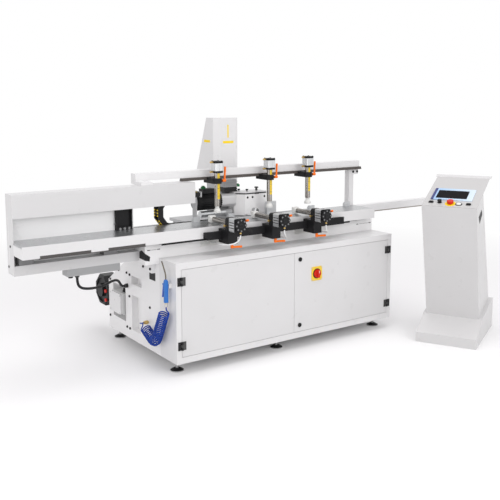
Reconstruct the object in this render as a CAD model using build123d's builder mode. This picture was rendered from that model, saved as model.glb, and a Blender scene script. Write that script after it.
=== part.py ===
from build123d import *
from math import cos, pi, radians, sin, sqrt, tan
import os

os.makedirs("parts", exist_ok=True)

# Horizontal mortiser: millimetres, +Z up, origin on the floor under the middle of the machine.
# +X runs along the work table, the operator stands on the -Y side.

# Reach of the machine about its front cabinet, and the height of its work table
left_reach = 832.0
right_reach = 760.0
front_reach = 680.0
rear_reach = 1140.0
table_height = 843.0

# Front cabinet and its doors
cabinet_length = 1720.0
cabinet_depth = 200.0
cabinet_drop = 168.0
sheet = 2.5
door_side_margin = 34.0
door_end_margin = 39.0
door_gap = 2.0
door_depth = 20.0
door_skin = 2.0
hinge_height = 50.0
hinge_leaf_width = 26.0
hinge_leaf = 4.0
hinge_knuckle_radius = 6.0
hinge_pin_radius = 2.5
hinge_inset = 70.0
lock_inset = 45.0
lock_radius = 11.0
lock_flange_radius = 14.0
lock_cam_length = 52.0
switch_inset = 183.0
switch_rise = 368.0
switch_plate_width = 86.0
switch_plate_height = 92.0
switch_plate = 4.0
switch_handle_radius = 27.0

# Levelling feet
foot_height = 75.0
foot_radius = 40.0
foot_rim = 6.0
foot_pad_height = 18.0
foot_stud_radius = 9.0
foot_row_front = 110.0
foot_row_rear = 695.0
foot_inset = 60.0
foot_columns = (foot_inset, 800.0, cabinet_length - foot_inset)

# Welded end frame behind the cabinet
frame_depth = 710.0
frame_wall = 8.0
frame_plate = 10.0
frame_plate_overhang = 20.0
frame_rear_height = 332.0
frame_shoulder = 440.0
frame_shoulder_drop = 50.0
frame_panel_depth = 4.0
frame_panel = ((318.0, 582.0), (140.0, 370.0))
box_recess_depth = 60.0
frame_recesses = (
    ((468.0, 582.0), (140.0, 370.0), 45.0),
    ((440.0, 582.0), (442.0, 496.0), 45.0),
    ((672.0, 862.0), (172.0, 398.0), box_recess_depth),
)
bed_bar_front = 240.0
bed_bar_length = 200.0
bed_bar_height = 62.0
bed_bar_depth = 30.0
junction_box_width = 170.0
junction_box_height = 140.0
junction_box_proud = 12.0
junction_box_rise = 214.0
junction_box_inset = 567.0

# Machine bed and traverse rails
bed_depth = 650.0
bed_height = 115.0
bed_wall = 10.0
bed_left_overhang = 92.0
traverse_rail_width = 22.0
traverse_rail_height = 18.0
traverse_rail_front = 280.0
traverse_rail_spacing = 280.0
traverse_rail_margin = 80.0
hose_slot_length = 150.0
hose_slot_height = 26.0
hose_slot_drop = 27.0
hose_slot_offset = 35.0

# Work table
table_front_setback = 124.0
table_depth = 221.0
table_plate = 10.0
table_skirt = 6.0
table_skirt_height = 68.0
table_stand = 20.0
table_right_short = 48.0
skirt_notch = 13.0
spacer_length = 80.0
last_spacer_inset = 138.0
spacer_places = (-80.0, 560.0, 1120.0, cabinet_length - last_spacer_inset)
strut_places = (30.0, 520.0)
skirt_length = left_reach + cabinet_length - table_right_short
skirt_tabs = ((0.0, 92.0), (379.0, 479.0), (708.0, skirt_length))
fence_block_depth = 26.0
fence_block_setback = 3.0
last_fence_inset = 130.0
fence_blocks = (
    (330.0, 46.0, 32.0),
    (590.0, 46.0, 32.0),
    (910.0, 76.0, 88.0),
    (1260.0, 46.0, 32.0),
    (cabinet_length - last_fence_inset, 46.0, 32.0),
)
extension_height = 58.0
extension_depth = 50.0
extension_wall = 4.0
extension_setback = 176.0
extension_bracket_length = 62.0

# Left guard housing
guard_front_setback = 274.0
guard_depth = 105.0
guard_drop = 183.0
guard_rise = 257.0
guard_hood_height = 129.0
guard_ledge_height = 55.0
guard_recess = 71.0
guard_wall = 3.0
guard_hood_reach = 296.0
guard_lip = 30.0
upright_inset = 620.0
upright_width = 103.0
upright_depth = 26.0
upright_rib = 8.0

# Overhead clamp beam
beam_front_setback = 375.0
beam_left_overhang = 58.0
beam_right_overhang = 32.0
beam_depth = 60.0
beam_height = 44.0
beam_rise = 275.0
beam_wall = 4.0
post_width = 42.0
post_depth = 46.0
post_inset = 43.0
beam_pad_length = 76.0
beam_pad_setback = 300.0

# Dovetail rails that carry the clamps
beam_rail_setback = 359.0
beam_rail_width = 28.0
beam_rail_height = 18.0
beam_rail_left = 250.0
beam_rail_overrun = 8.0
front_rail_left = 260.0
front_rail_right = 1345.0
front_rail_depth = 45.0
front_rail_height = 48.0
front_rail_drop = 73.0
dovetail_slope = 6.0
slide_clearance = 0.4

# Vertical clamps
vertical_clamp_x = (465.0, 872.0, 1197.0)
vertical_clamp_setback = 290.0
vertical_bracket_drop = 38.0
vertical_bracket_top_gap = 4.0
vertical_boss_radius = 30.0
vertical_bracket_width = 64.0
column_radius = 18.0
column_clearance = 95.0
column_cap_rise = 30.0
cylinder_side = 58.0
cylinder_height = 74.0
cylinder_cap = 13.0
foot_gap = 0.5
vertical_foot_height = 40.5
vertical_foot_radius = 22.5
vertical_foot_neck_radius = 13.0
rod_radius = 8.0
rod_length = 70.0
rod_bore_depth = 76.0
bore_clearance = 0.35
lever_hub_radius = 9.0
lever_gap = 0.3
vertical_lever_hub = 24.0
vertical_lever_length = 88.0
vertical_lever_setback = 280.0
lever_arm_radius = 6.0
lever_tip_radius = 7.0

# Front clamps
front_clamp_x = (397.0, 722.0, 1056.0)
front_axis_height = 25.0
front_bracket_width = 64.0
front_bracket_front = 9.0
front_bracket_plate = 36.0
front_bracket_height = 62.0
front_jaw_drop = 98.0
front_jaw_dip = 13.0
front_jaw_back = 118.0
front_tube_radius = 16.0
front_tube_end = 222.0
front_spacer = 18.0
front_spacer_radius = 27.0
front_body_side = 82.0
front_body_length = 56.0
front_cap = 15.0
front_cap_lobe = 9.0
pad_radius = 21.0
pad_length = 35.0
pad_neck_radius = 14.0
rail_lever_hub = 26.0
rail_lever_length = 62.0
rail_lever_setback = 20.0
tube_lever_hub = 26.0
tube_lever_length = 100.0
hose_fitting_radius = 6.0
hose_fitting_length = 16.0
hose_diameter = 8.0

# Machining head
head_x = 726.0
carriage_left = 400.0
carriage_length = 500.0
carriage_plate = 20.0
carriage_depth = 360.0
carriage_block_length = 80.0
carriage_block_width = 50.0
carriage_block_inset = 20.0
carriage_lift = 12.0
column_width = 160.0
column_depth = 110.0
column_setback = 600.0
column_height = 490.0
column_wall = 8.0
lift_rail_width = 20.0
lift_rail_depth = 14.0
lift_rail_spacing = 112.0
lift_rail_bottom = 15.0
cover_front_setback = 560.0
cover_half_front = 61.5
cover_half_width = 97.5
cover_top_depth = 123.0
cover_foot_depth = 275.0
cover_foot_rise = 217.0
cover_top_rise = 639.0
cover_wall = 3.0
slide_plate = 34.0
slide_width = 172.0
slide_drop = 27.0
slide_rise = 147.0
arm_plate = 18.0
arm_front_setback = 430.0
arm_right = 900.0
arm_rail_width = 16.0
arm_rail_height = 10.0
arm_rail_x = (765.0, 893.0)
drive_width = 100.0
drive_depth = 80.0
drive_height = 80.0
feed_drive_radius = 22.0
feed_drive_left = 445.0
feed_drive_setback = 470.0
feed_drive_height = 19.0
housing_left = 700.0
housing_right = 926.0
housing_front_setback = 400.0
housing_depth = 120.0
housing_drop = 5.0
housing_rise = 142.0
housing_corner = 55.0
lid_height = 9.0
lid_margin = 5.0
knob_radius = 15.0
knob_height = 16.0
knob_x = 887.0
adaptor_left = 585.0
adaptor_depth = 90.0
adaptor_height = 84.0
motor_left = 405.0
motor_radius = 56.0
motor_fin_depth = 6.0
motor_fin_count = 24
motor_cap_length = 34.0
motor_axis_height = 102.0
motor_axis_setback = 470.0
spindle_x = 825.0
spindle_height = 25.0
spindle_shaft_radius = 12.0
spindle_shaft_length = 60.0
shaft_clearance = 0.05
chuck_radius = 18.0
chuck_length = 38.0
chuck_bore_radius = 8.0
chuck_bore_depth = 32.0
chuck_gap = 0.5

# Energy chain
chain_loop_x = 188.0
chain_loop_height = 72.0
chain_loop_radius = 95.0
chain_turn_links = 5
chain_low_links = 6
chain_high_links = 3
chain_link_radius = 17.0
chain_setback = 352.0
chain_width = 60.0
chain_side = 3.0
chain_stud_radius = 5.0
chain_gap = 0.3
chain_bar_width = 14.0
chain_bar = 2.6
chain_end_plate = 8.0

# Cable tray and its cable
tray_left = 297.0
tray_length = 320.0
tray_height = 44.0
tray_depth = 80.0
tray_wall = 2.0
gland_radius = 13.0
gland_length = 20.0
cable_diameter = 16.0
frame_gland_length = 18.0
cable_route = (
    (-457.0, 335.0, 596.0),
    (-457.0, 335.0, 560.0),
    (-434.0, 353.0, 527.0),
    (-384.0, 388.0, 505.0),
    (-308.0, 439.0, 488.0),
    (-222.0, 497.0, 479.0),
    (-150.0, 548.0, 487.0),
    (-95.0, 592.0, 478.0),
    (-66.0, 622.0, 456.0),
    (-48.0, 638.0, 432.0),
    (-36.0, 641.0, 418.0),
    (-18.0, 641.0, 418.0),
)

# Blow gun and its coiled hose
gun_setback = 66.0
gun_gap = 18.0
gun_thickness = 24.0
gun_low = 440.0
gun_high = 575.0
gun_handle_width = 26.0
gun_nozzle_radius = 4.0
gun_nozzle_bend = 60.0
gun_nozzle_rise = (30.0, 100.0)
gun_nozzle_reach = 46.0
trigger_thickness = 14.0
trigger_pin_radius = 2.0
trigger_eye_radius = 5.0
trigger_ear = 3.0
trigger_clearance = 0.4
coil_hose_diameter = 8.0
coil_radius = 29.0
coil_turns = 26
coil_offset = 46.0
coil_start = (62.0, 380.0)
coil_corner = (176.0, 168.0)
coil_end = (305.0, 228.0)
coil_bend_radius = 100.0
wall_fitting_setback = 366.0
wall_fitting_rise = 243.0
wall_fitting_radius = 10.0
wall_fitting_length = 26.0

# Rear blower
blower_radius = 104.0
blower_width = 110.0
blower_rise = 308.0
blower_left = -8.0
blower_recess = 10.0
blower_hub_radius = 46.0
blower_hub_length = 26.0
blower_port_radius = 12.0
blower_port_length = 10.0
blower_ports = ((-78.0, 7.0), (-78.0, -55.0))

# Console
console_left_inset = 82.0
console_width = 392.0
console_column_width = 348.0
console_facing = (188.0, -352.0)
console_depth = 600.0
console_plinth = 66.0
console_step = (180.0, 153.0)
console_desk = (-50.0, 925.0)
console_top = (400.0, 1082.0)
console_neck = 216.0
console_back = (541.0, 210.0)
console_tail = 205.0
console_lip = 38.0
console_wall = 3.0
panel_thickness = 4.0
stop_radius = 20.0
stop_height = 18.0
stop_stem_radius = 9.0
stop_travel = 6.0
button_radius = 11.0
button_height = 6.0
button_row = 44.0
button_x = 53.0
control_gap = 0.3
control_depth = 3.0

# Control gear inside the cabinet
gear_panel = 4.0
gear_margin = 70.0
gear_depth = 90.0
gear_height = 260.0
gear_width = 150.0
gear_pitch = 230.0
gear_count = 6

# Places worked out from the sizes above
cab_left = left_reach - (left_reach + cabinet_length + right_reach) / 2
cab_right = cab_left + cabinet_length
cab_front = front_reach - (front_reach + rear_reach) / 2
cab_back = cab_front + cabinet_depth
cab_low = foot_height
cabinet_height = table_height - cabinet_drop - foot_height
cab_top = foot_height + cabinet_height
far_left = cab_left - left_reach
far_right = cab_right + right_reach
bed_left = cab_left - bed_left_overhang
bed_top = table_height - table_skirt_height - table_stand
bed_low = bed_top - bed_height
frame_front_height = bed_low - cab_low
bed_back = cab_back + bed_depth
table_front = cab_front + table_front_setback
table_back = table_front + table_depth
table_left = far_left + guard_wall
table_right = cab_right - table_right_short
table_low = table_height - table_skirt_height
guard_low = table_height - guard_drop
guard_high = table_height + guard_rise
beam_low = table_height + beam_rise
front_rail_rise = table_height - front_rail_drop
column_low = table_height + column_clearance
front_clamp_axis_rise = table_height + front_axis_height
front_bracket_top = table_height + front_bracket_height
front_jaw_low = table_height - front_jaw_drop
front_jaw_top = table_height - front_jaw_dip
cover_low = table_height + cover_foot_rise
cover_high = table_height + cover_top_rise
slide_low = table_height - slide_drop
slide_high = table_height + slide_rise
feed_drive_rise = table_height + feed_drive_height
housing_low = table_height - housing_drop
housing_high = table_height + housing_rise
motor_axis_rise = table_height + motor_axis_height
spindle_rise = table_height + spindle_height
chain_loop_rise = table_height + chain_loop_height
vertical_bracket_low = beam_low - vertical_bracket_drop
column_cap_low = beam_low + column_cap_rise
guard_front = cab_front + guard_front_setback
guard_back = guard_front + guard_depth
beam_front = cab_front + beam_front_setback
beam_left = cab_left - beam_left_overhang
beam_right = cab_right + beam_right_overhang
beam_high = beam_low + beam_height


def side_plane(x):
    return Plane.YZ.offset(x)


def front_plane(y):
    return Plane.XZ.offset(-y)


def level(z):
    return Plane.XY.offset(z)


def keep(piece, name):
    piece.part.label = name
    export_step(piece.part, f"parts/{name}.step")


def block(x_range, y_range, z_range, mode=Mode.ADD):
    """A plain block between two x, two y and two z values."""
    with BuildSketch(level(z_range[0])) as plan:
        with Locations((sum(x_range) / 2, sum(y_range) / 2)):
            Rectangle(x_range[1] - x_range[0], y_range[1] - y_range[0])
    extrude(plan.sketch, amount=z_range[1] - z_range[0], mode=mode)


def tube_ring(points, wall):
    """The closed sheet section that follows an outline, inside an open sketch."""
    Polygon(*points, align=None)
    offset(amount=-wall, kind=Kind.INTERSECTION, mode=Mode.SUBTRACT)


# Levelling feet under the cabinet and the frame
foot_points = [(cab_left + d, cab_front + foot_row_front) for d in foot_columns]
foot_points += [(cab_left + d, cab_back + foot_row_rear) for d in (foot_columns[0], foot_columns[-1])]
with BuildPart() as one_foot:
    with BuildSketch(Plane.XZ):
        Polygon(
            (0, 0),
            (foot_radius, 0),
            (foot_radius, foot_rim),
            (foot_stud_radius * 2, foot_pad_height),
            (foot_stud_radius, foot_pad_height),
            (foot_stud_radius, foot_height),
            (0, foot_height),
            align=None,
        )
    revolve(axis=Axis.Z)
with BuildPart() as levelling_feet:
    with Locations(*[(x, y, 0) for x, y in foot_points]):
        add(one_foot.part)
keep(levelling_feet, "levelling_feet")

# Front cabinet: folded sheet shell, open towards the doors
cab_middle = (cab_left + cab_right) / 2
door_low = cab_low + door_end_margin
door_high = cab_top - door_end_margin
opening_width = cabinet_length - 2 * door_side_margin
with BuildPart() as cabinet_shell:
    block((cab_left, cab_right), (cab_front, cab_back), (cab_low, cab_top))
    block(
        (cab_left + sheet, cab_right - sheet),
        (cab_front + sheet, cab_back - sheet),
        (cab_low + sheet, cab_top - sheet),
        mode=Mode.SUBTRACT,
    )
    with BuildSketch(front_plane(cab_front)):
        with Locations((cab_middle, (door_low + door_high) / 2)):
            Rectangle(opening_width, door_high - door_low)
    extrude(amount=-sheet, mode=Mode.SUBTRACT)
keep(cabinet_shell, "cabinet_shell")

# Hinges: the fixed leaves carry the pins, the moving leaves are on the doors
hinge_axis_y = cab_front - hinge_knuckle_radius - slide_clearance
hinge_left_x = cab_left + door_side_margin + door_gap / 2
hinge_right_x = cab_right - door_side_margin - door_gap / 2
hinge_heights = (door_low + hinge_inset, door_high - hinge_inset)
knuckle_height = hinge_height / 3
leaf_start = hinge_knuckle_radius + 2 * slide_clearance


def leaf_section(axis_x, side, start):
    """A leaf's flat section, from start to its outer edge on one side of the pin."""
    with Locations((axis_x + side * (start + hinge_leaf_width) / 2, cab_front - hinge_leaf / 2)):
        Rectangle(hinge_leaf_width - start, hinge_leaf)


def fixed_leaf(axis_x, side, z):
    for low in (z - hinge_height / 2, z + hinge_height / 2 - knuckle_height):
        with BuildSketch(level(low)) as knuckle:
            leaf_section(axis_x, side, 0)
            with Locations((axis_x, hinge_axis_y)):
                Circle(hinge_knuckle_radius)
        extrude(knuckle.sketch, amount=knuckle_height)
    with BuildSketch(level(z - hinge_height / 2)) as leaf:
        leaf_section(axis_x, side, leaf_start)
        with Locations((axis_x, hinge_axis_y)):
            Circle(hinge_pin_radius)
    extrude(leaf.sketch, amount=hinge_height)


def moving_leaf(axis_x, side, z):
    with BuildSketch(level(z - hinge_height / 2)) as leaf:
        leaf_section(axis_x, side, leaf_start)
    extrude(leaf.sketch, amount=hinge_height)
    with BuildSketch(level(z - knuckle_height / 2 + slide_clearance)) as knuckle:
        leaf_section(axis_x, side, 0)
        with Locations((axis_x, hinge_axis_y)):
            Circle(hinge_knuckle_radius)
            Circle(hinge_pin_radius + shaft_clearance, mode=Mode.SUBTRACT)
    extrude(knuckle.sketch, amount=knuckle_height - 2 * slide_clearance)


with BuildPart() as door_hinges:
    for hinge_z in hinge_heights:
        fixed_leaf(hinge_left_x, -1, hinge_z)
        fixed_leaf(hinge_right_x, 1, hinge_z)
keep(door_hinges, "door_hinges")

# Doors: folded pans that close flush with the cabinet's front
door_width = opening_width / 2 - 1.5 * door_gap
door_height = door_high - door_low - 2 * door_gap
door_middle_z = (door_low + door_high) / 2
left_door_x = cab_left + door_side_margin + door_gap + door_width / 2
right_door_x = cab_right - door_side_margin - door_gap - door_width / 2
lock_x = cab_middle + lock_inset
lock_heights = {"upper": door_high - lock_inset, "lower": door_low + lock_inset}
switch_x = cab_middle + switch_inset
switch_z = door_low + switch_rise


def door_pan(middle_x):
    with BuildSketch(front_plane(cab_front)) as outside:
        with Locations((middle_x, door_middle_z)):
            Rectangle(door_width, door_height)
    extrude(outside.sketch, amount=-door_depth)
    with BuildSketch(front_plane(cab_front + door_skin)) as inside:
        with Locations((middle_x, door_middle_z)):
            Rectangle(door_width - 2 * door_skin, door_height - 2 * door_skin)
    extrude(inside.sketch, amount=-(door_depth - door_skin), mode=Mode.SUBTRACT)


with BuildPart() as left_door:
    door_pan(left_door_x)
    for hinge_z in hinge_heights:
        moving_leaf(hinge_left_x, 1, hinge_z)
keep(left_door, "left_door")

with BuildPart() as right_door:
    door_pan(right_door_x)
    for hinge_z in hinge_heights:
        moving_leaf(hinge_right_x, -1, hinge_z)
    with BuildSketch(front_plane(cab_front)):
        with Locations((switch_x, switch_z)):
            RectangleRounded(switch_plate_width, switch_plate_height, 2 * switch_plate)
    extrude(amount=switch_plate)
    with BuildSketch(front_plane(cab_front)):
        for lock_z in lock_heights.values():
            with Locations((lock_x, lock_z)):
                Circle(lock_radius + bore_clearance)
    extrude(amount=-door_skin, mode=Mode.SUBTRACT)
keep(right_door, "right_door")

# Quarter-turn locks: flange, barrel and the cam behind the door
cam_width = 1.4 * lock_radius
for lock_name, lock_z in lock_heights.items():
    with BuildPart() as door_lock:
        with BuildSketch(front_plane(cab_front - control_gap)):
            with Locations((lock_x, lock_z)):
                Circle(lock_flange_radius)
        extrude(amount=hinge_leaf)
        with BuildSketch(front_plane(cab_front - control_gap - hinge_leaf)):
            with Locations((lock_x, lock_z)):
                SlotOverall(1.6 * lock_radius, 0.4 * lock_radius, rotation=90)
        extrude(amount=-hinge_leaf / 2, mode=Mode.SUBTRACT)
        with BuildSketch(front_plane(cab_front - control_gap)):
            with Locations((lock_x, lock_z)):
                Circle(lock_radius)
        extrude(amount=-(door_depth + 3 * control_gap))
        with BuildSketch(front_plane(cab_front + door_depth + 2 * control_gap)):
            with Locations((lock_x, lock_z + lock_cam_length / 2 - cam_width / 2)):
                SlotOverall(lock_cam_length, cam_width, rotation=90)
        extrude(amount=-hinge_leaf)
    keep(door_lock, f"{lock_name}_lock")

# Main switch handle: round base with a raised grip
switch_face = cab_front - switch_plate - control_gap
with BuildPart() as switch_handle:
    with BuildSketch(front_plane(switch_face)):
        with Locations((switch_x, switch_z)):
            Circle(switch_handle_radius)
    extrude(amount=0.35 * switch_handle_radius)
    with BuildSketch(front_plane(switch_face - 0.35 * switch_handle_radius)):
        with Locations((switch_x, switch_z)):
            SlotOverall(1.9 * switch_handle_radius, 0.55 * switch_handle_radius, rotation=90)
    extrude(amount=0.55 * switch_handle_radius)
keep(switch_handle, "switch_handle")

# End frame: welded box behind the cabinet with a plate at each end
frame_back = cab_back + frame_depth
shoulder_y = cab_back + frame_shoulder
frame_front_top = cab_low + frame_front_height
frame_rear_top = cab_low + frame_rear_height
shoulder_z = frame_front_top - frame_shoulder_drop
plate_back = frame_back + frame_plate_overhang
plate_outline = (
    (cab_back, cab_low),
    (plate_back, cab_low),
    (plate_back, frame_rear_top),
    (shoulder_y, shoulder_z),
    (shoulder_y, frame_front_top),
    (cab_back, frame_front_top),
)
frame_outline = (
    (cab_back, cab_low),
    (frame_back, cab_low),
    (frame_back, frame_rear_top - frame_plate_overhang),
    (shoulder_y - frame_plate_overhang, shoulder_z - frame_plate_overhang),
    (shoulder_y - frame_plate_overhang, frame_front_top),
    (cab_back, frame_front_top),
)
box_y = cab_back + junction_box_inset
box_z = junction_box_rise + junction_box_height / 2
cable_exit = (cab_left + cable_route[-1][0], cab_front + cable_route[-1][1], cable_route[-1][2])
wall_fitting_y = cab_front + wall_fitting_setback
with BuildPart() as end_frame:
    with BuildSketch(side_plane(cab_left + frame_plate)):
        tube_ring(frame_outline, frame_wall)
    extrude(amount=cabinet_length - 2 * frame_plate)
    for plate_x in (cab_left, cab_right - frame_plate):
        with BuildSketch(side_plane(plate_x)):
            Polygon(*plate_outline, align=None)
        extrude(amount=frame_plate)
    for plate_x in (cab_left, cab_right - frame_panel_depth):
        block(
            (plate_x, plate_x + frame_panel_depth),
            [cab_front + d for d in frame_panel[0]],
            frame_panel[1],
            mode=Mode.SUBTRACT,
        )
    # Recesses of the left plate, each with a back wall of its own
    for y_range, z_range, depth in frame_recesses:
        y_low, y_high = [cab_front + d for d in y_range]
        z_low, z_high = z_range
        block(
            (cab_left + frame_panel_depth, cab_left + depth + frame_wall),
            (y_low - frame_wall, y_high + frame_wall),
            (z_low - frame_wall, z_high + frame_wall),
        )
        block((cab_left, cab_left + depth), (y_low, y_high), z_range, mode=Mode.SUBTRACT)
    # Bar under the bed's overhang
    bar_front = cab_front + bed_bar_front
    block(
        (cab_left - bed_bar_depth, cab_left),
        (bar_front, bar_front + bed_bar_length),
        (bed_low - bed_bar_height, bed_low),
    )
    # Cable gland and the air inlet fitting on the left plate
    with BuildSketch(side_plane(cab_left)):
        with Locations((cable_exit[1], cable_exit[2])):
            Circle(gland_radius)
    extrude(amount=-frame_gland_length)
    with BuildSketch(side_plane(cab_left + frame_panel_depth)):
        with Locations((wall_fitting_y, wall_fitting_rise)):
            Circle(wall_fitting_radius)
    extrude(amount=-wall_fitting_length - frame_panel_depth)
keep(end_frame, "end_frame")

# Machine bed: box beam on the frame with two traverse rails and hose slots
rail_y = [cab_front + cabinet_depth + traverse_rail_front + k * traverse_rail_spacing for k in (0, 1)]
rail_left = cab_left + traverse_rail_margin / 4
rail_right = cab_right - traverse_rail_margin
slot_z = bed_top - hose_slot_drop
hose_sides = (-1, 1, 1)
clamp_x = [cab_left + d for d in front_clamp_x]
hose_slots = [x + side * hose_slot_offset for x, side in zip(clamp_x, hose_sides)]
bed_outline = ((cab_back, bed_low), (bed_back, bed_low), (bed_back, bed_top), (cab_back, bed_top))
with BuildPart() as machine_bed:
    with BuildSketch(side_plane(bed_left + bed_wall)):
        tube_ring(bed_outline, bed_wall)
    extrude(amount=cab_right - bed_left - 2 * bed_wall)
    for cap_x in (bed_left, cab_right - bed_wall):
        with BuildSketch(side_plane(cap_x)):
            Polygon(*bed_outline, align=None)
        extrude(amount=bed_wall)
    with BuildSketch(front_plane(cab_back)):
        for slot_x in hose_slots:
            with Locations((slot_x, slot_z)):
                SlotOverall(hose_slot_length, hose_slot_height)
    extrude(amount=-bed_wall, mode=Mode.SUBTRACT)
    for y in rail_y:
        block(
            (rail_left, rail_right),
            (y - traverse_rail_width / 2, y + traverse_rail_width / 2),
            (bed_top, bed_top + traverse_rail_height),
        )
keep(machine_bed, "machine_bed")

# Table skirt: front plate with a notched lower edge, ribs, end plates and spacers
rib_y = (table_front + table_depth / 3, table_back - 4 * table_skirt)
plate_low = table_height - table_plate
with BuildPart() as table_skirt_part:
    block((far_left, table_right), (table_front, table_front + table_skirt), (table_low, table_height))
    for y in rib_y:
        block((table_left, table_right), (y, y + table_skirt), (table_low, plate_low))
    block(
        (table_right - table_skirt, table_right),
        (table_front, table_back),
        (table_low, plate_low),
    )
    block(
        (far_left, far_left + table_skirt),
        (table_front, guard_front - slide_clearance),
        (table_low, plate_low),
    )
    for tab, after in zip(skirt_tabs, skirt_tabs[1:]):
        block(
            (far_left + tab[1], far_left + after[0]),
            (table_front, table_front + table_skirt),
            (table_low, table_low + skirt_notch),
            mode=Mode.SUBTRACT,
        )
    for d in spacer_places:
        block(
            (cab_left + d, cab_left + d + spacer_length),
            (cab_back, table_back - table_skirt),
            (bed_top, table_low),
        )
    for d in strut_places:
        block(
            (far_left + d, far_left + d + spacer_length),
            (guard_front + 2 * guard_wall, table_back - table_skirt),
            (guard_low + guard_ledge_height, table_low),
        )
keep(table_skirt_part, "table_skirt")

# Table top with its fence blocks, and the extension rail on the right
extension_front = table_front + extension_setback
extension_low = table_height - extension_height
extension_outline = (
    (extension_front, extension_low),
    (extension_front + extension_depth, extension_low),
    (extension_front + extension_depth, table_height),
    (extension_front, table_height),
)
with BuildPart() as work_table:
    block((table_left, table_right), (table_front + table_skirt, table_back), (plate_low, table_height))
    for d, length, height in fence_blocks:
        block_back = table_back - fence_block_setback
        with BuildSketch(side_plane(cab_left + d - length / 2)):
            Polygon(
                (block_back - fence_block_depth, table_height),
                (block_back, table_height),
                (block_back, table_height + height - fence_block_depth / 2),
                (block_back - fence_block_depth / 2, table_height + height),
                (block_back - fence_block_depth, table_height + height),
                align=None,
            )
        extrude(amount=length)
    with BuildSketch(side_plane(table_right)):
        tube_ring(extension_outline, extension_wall)
    extrude(amount=far_right - table_right - extension_wall)
    with BuildSketch(side_plane(far_right - extension_wall)):
        Polygon(*extension_outline, align=None)
    extrude(amount=extension_wall)
    with BuildSketch(front_plane(extension_front)):
        Polygon(
            (table_right, extension_low),
            (table_right + extension_bracket_length, extension_low),
            (table_right, extension_low - extension_height / 2),
            align=None,
        )
    extrude(amount=-extension_depth)
keep(work_table, "work_table")

# Left guard: C-shaped sheet housing, and the hood that covers the energy chain
recess_y = guard_front + guard_recess
hood_low = guard_high - guard_hood_height
ledge_high = guard_low + guard_ledge_height
guard_right = bed_left
hood_right = cab_left + guard_hood_reach
guard_outline = (
    (guard_front, guard_low),
    (guard_back, guard_low),
    (guard_back, guard_high),
    (guard_front, guard_high),
    (guard_front, hood_low),
    (recess_y, hood_low),
    (recess_y, ledge_high),
    (guard_front, ledge_high),
)
hood_outline = (
    (guard_front, hood_low),
    (guard_front + guard_wall, hood_low),
    (guard_front + guard_wall, guard_high - guard_wall),
    (guard_back - guard_wall, guard_high - guard_wall),
    (guard_back - guard_wall, guard_high - guard_lip),
    (guard_back, guard_high - guard_lip),
    (guard_back, guard_high),
    (guard_front, guard_high),
)
with BuildPart() as guard_housing:
    with BuildSketch(side_plane(far_left + guard_wall)):
        tube_ring(guard_outline, guard_wall)
    extrude(amount=guard_right - far_left - 2 * guard_wall)
    with BuildSketch(side_plane(far_left)):
        Polygon(*guard_outline[:4], align=None)
    extrude(amount=guard_wall)
    with BuildSketch(side_plane(guard_right - guard_wall)):
        Polygon(*guard_outline, align=None)
    extrude(amount=guard_wall)
    with BuildSketch(side_plane(guard_right)):
        Polygon(*hood_outline, align=None)
    extrude(amount=hood_right - guard_right)
keep(guard_housing, "guard_housing")

# Black upright in the guard's recess: channel with a foot flange and ribs
upright_left = far_left + upright_inset
upright_right = upright_left + upright_width
upright_front = recess_y - upright_depth
with BuildPart() as guard_upright:
    block((upright_left, upright_right), (recess_y - upright_rib, recess_y), (table_height, hood_low))
    for x in (upright_left, upright_right - upright_rib):
        block((x, x + upright_rib), (upright_front, recess_y), (table_height, hood_low))
    block(
        (upright_left, upright_right),
        (upright_front, recess_y),
        (table_height, table_height + 2 * upright_rib),
    )
    chamfer(guard_upright.edges().filter_by(Axis.Z).group_by(Axis.Y)[0], length=upright_rib / 4)
keep(guard_upright, "guard_upright")

# Overhead clamp beam on its right post and left pad
post_right = beam_right - post_inset
beam_outline = (
    (beam_front, beam_low),
    (beam_front + beam_depth, beam_low),
    (beam_front + beam_depth, beam_high),
    (beam_front, beam_high),
)
with BuildPart() as clamp_beam:
    with BuildSketch(side_plane(beam_left + beam_wall)):
        tube_ring(beam_outline, beam_wall)
    extrude(amount=beam_right - beam_left - 2 * beam_wall)
    for cap_x in (beam_left, beam_right - beam_wall):
        with BuildSketch(side_plane(cap_x)):
            Polygon(*beam_outline, align=None)
        extrude(amount=beam_wall)
    with BuildSketch(level(bed_top)):
        with Locations((post_right - post_width / 2, beam_front + beam_depth - post_depth / 2)):
            Rectangle(post_width, post_depth)
            Rectangle(post_width - 2 * beam_wall, post_depth - 2 * beam_wall, mode=Mode.SUBTRACT)
    extrude(amount=beam_low - bed_top)
    block(
        (beam_left, beam_left + beam_pad_length),
        (cab_front + beam_pad_setback, beam_front + beam_depth),
        (guard_high, beam_low),
    )
keep(clamp_beam, "clamp_beam")

# Dovetail rails: one under the beam for the vertical clamps, one on the skirt for the front clamps
beam_rail_front = cab_front + beam_rail_setback
beam_rail_back = beam_rail_front + beam_rail_width
beam_rail_outline = (
    (beam_rail_front, beam_low - beam_rail_height),
    (beam_rail_back, beam_low - beam_rail_height),
    (beam_rail_back - dovetail_slope, beam_low),
    (beam_rail_front + dovetail_slope, beam_low),
)
front_rail_front = table_front - front_rail_depth
front_rail_high = front_rail_rise + front_rail_height
front_rail_outline = (
    (front_rail_front, front_rail_rise),
    (table_front, front_rail_rise + dovetail_slope),
    (table_front, front_rail_high - dovetail_slope),
    (front_rail_front, front_rail_high),
)
with BuildPart() as clamp_rails:
    with BuildSketch(side_plane(cab_left + beam_rail_left)):
        Polygon(*beam_rail_outline, align=None)
    extrude(amount=beam_right + beam_rail_overrun - cab_left - beam_rail_left)
    with BuildSketch(side_plane(cab_left + front_rail_left)):
        Polygon(*front_rail_outline, align=None)
    extrude(amount=front_rail_right - front_rail_left)
keep(clamp_rails, "clamp_rails")


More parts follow.
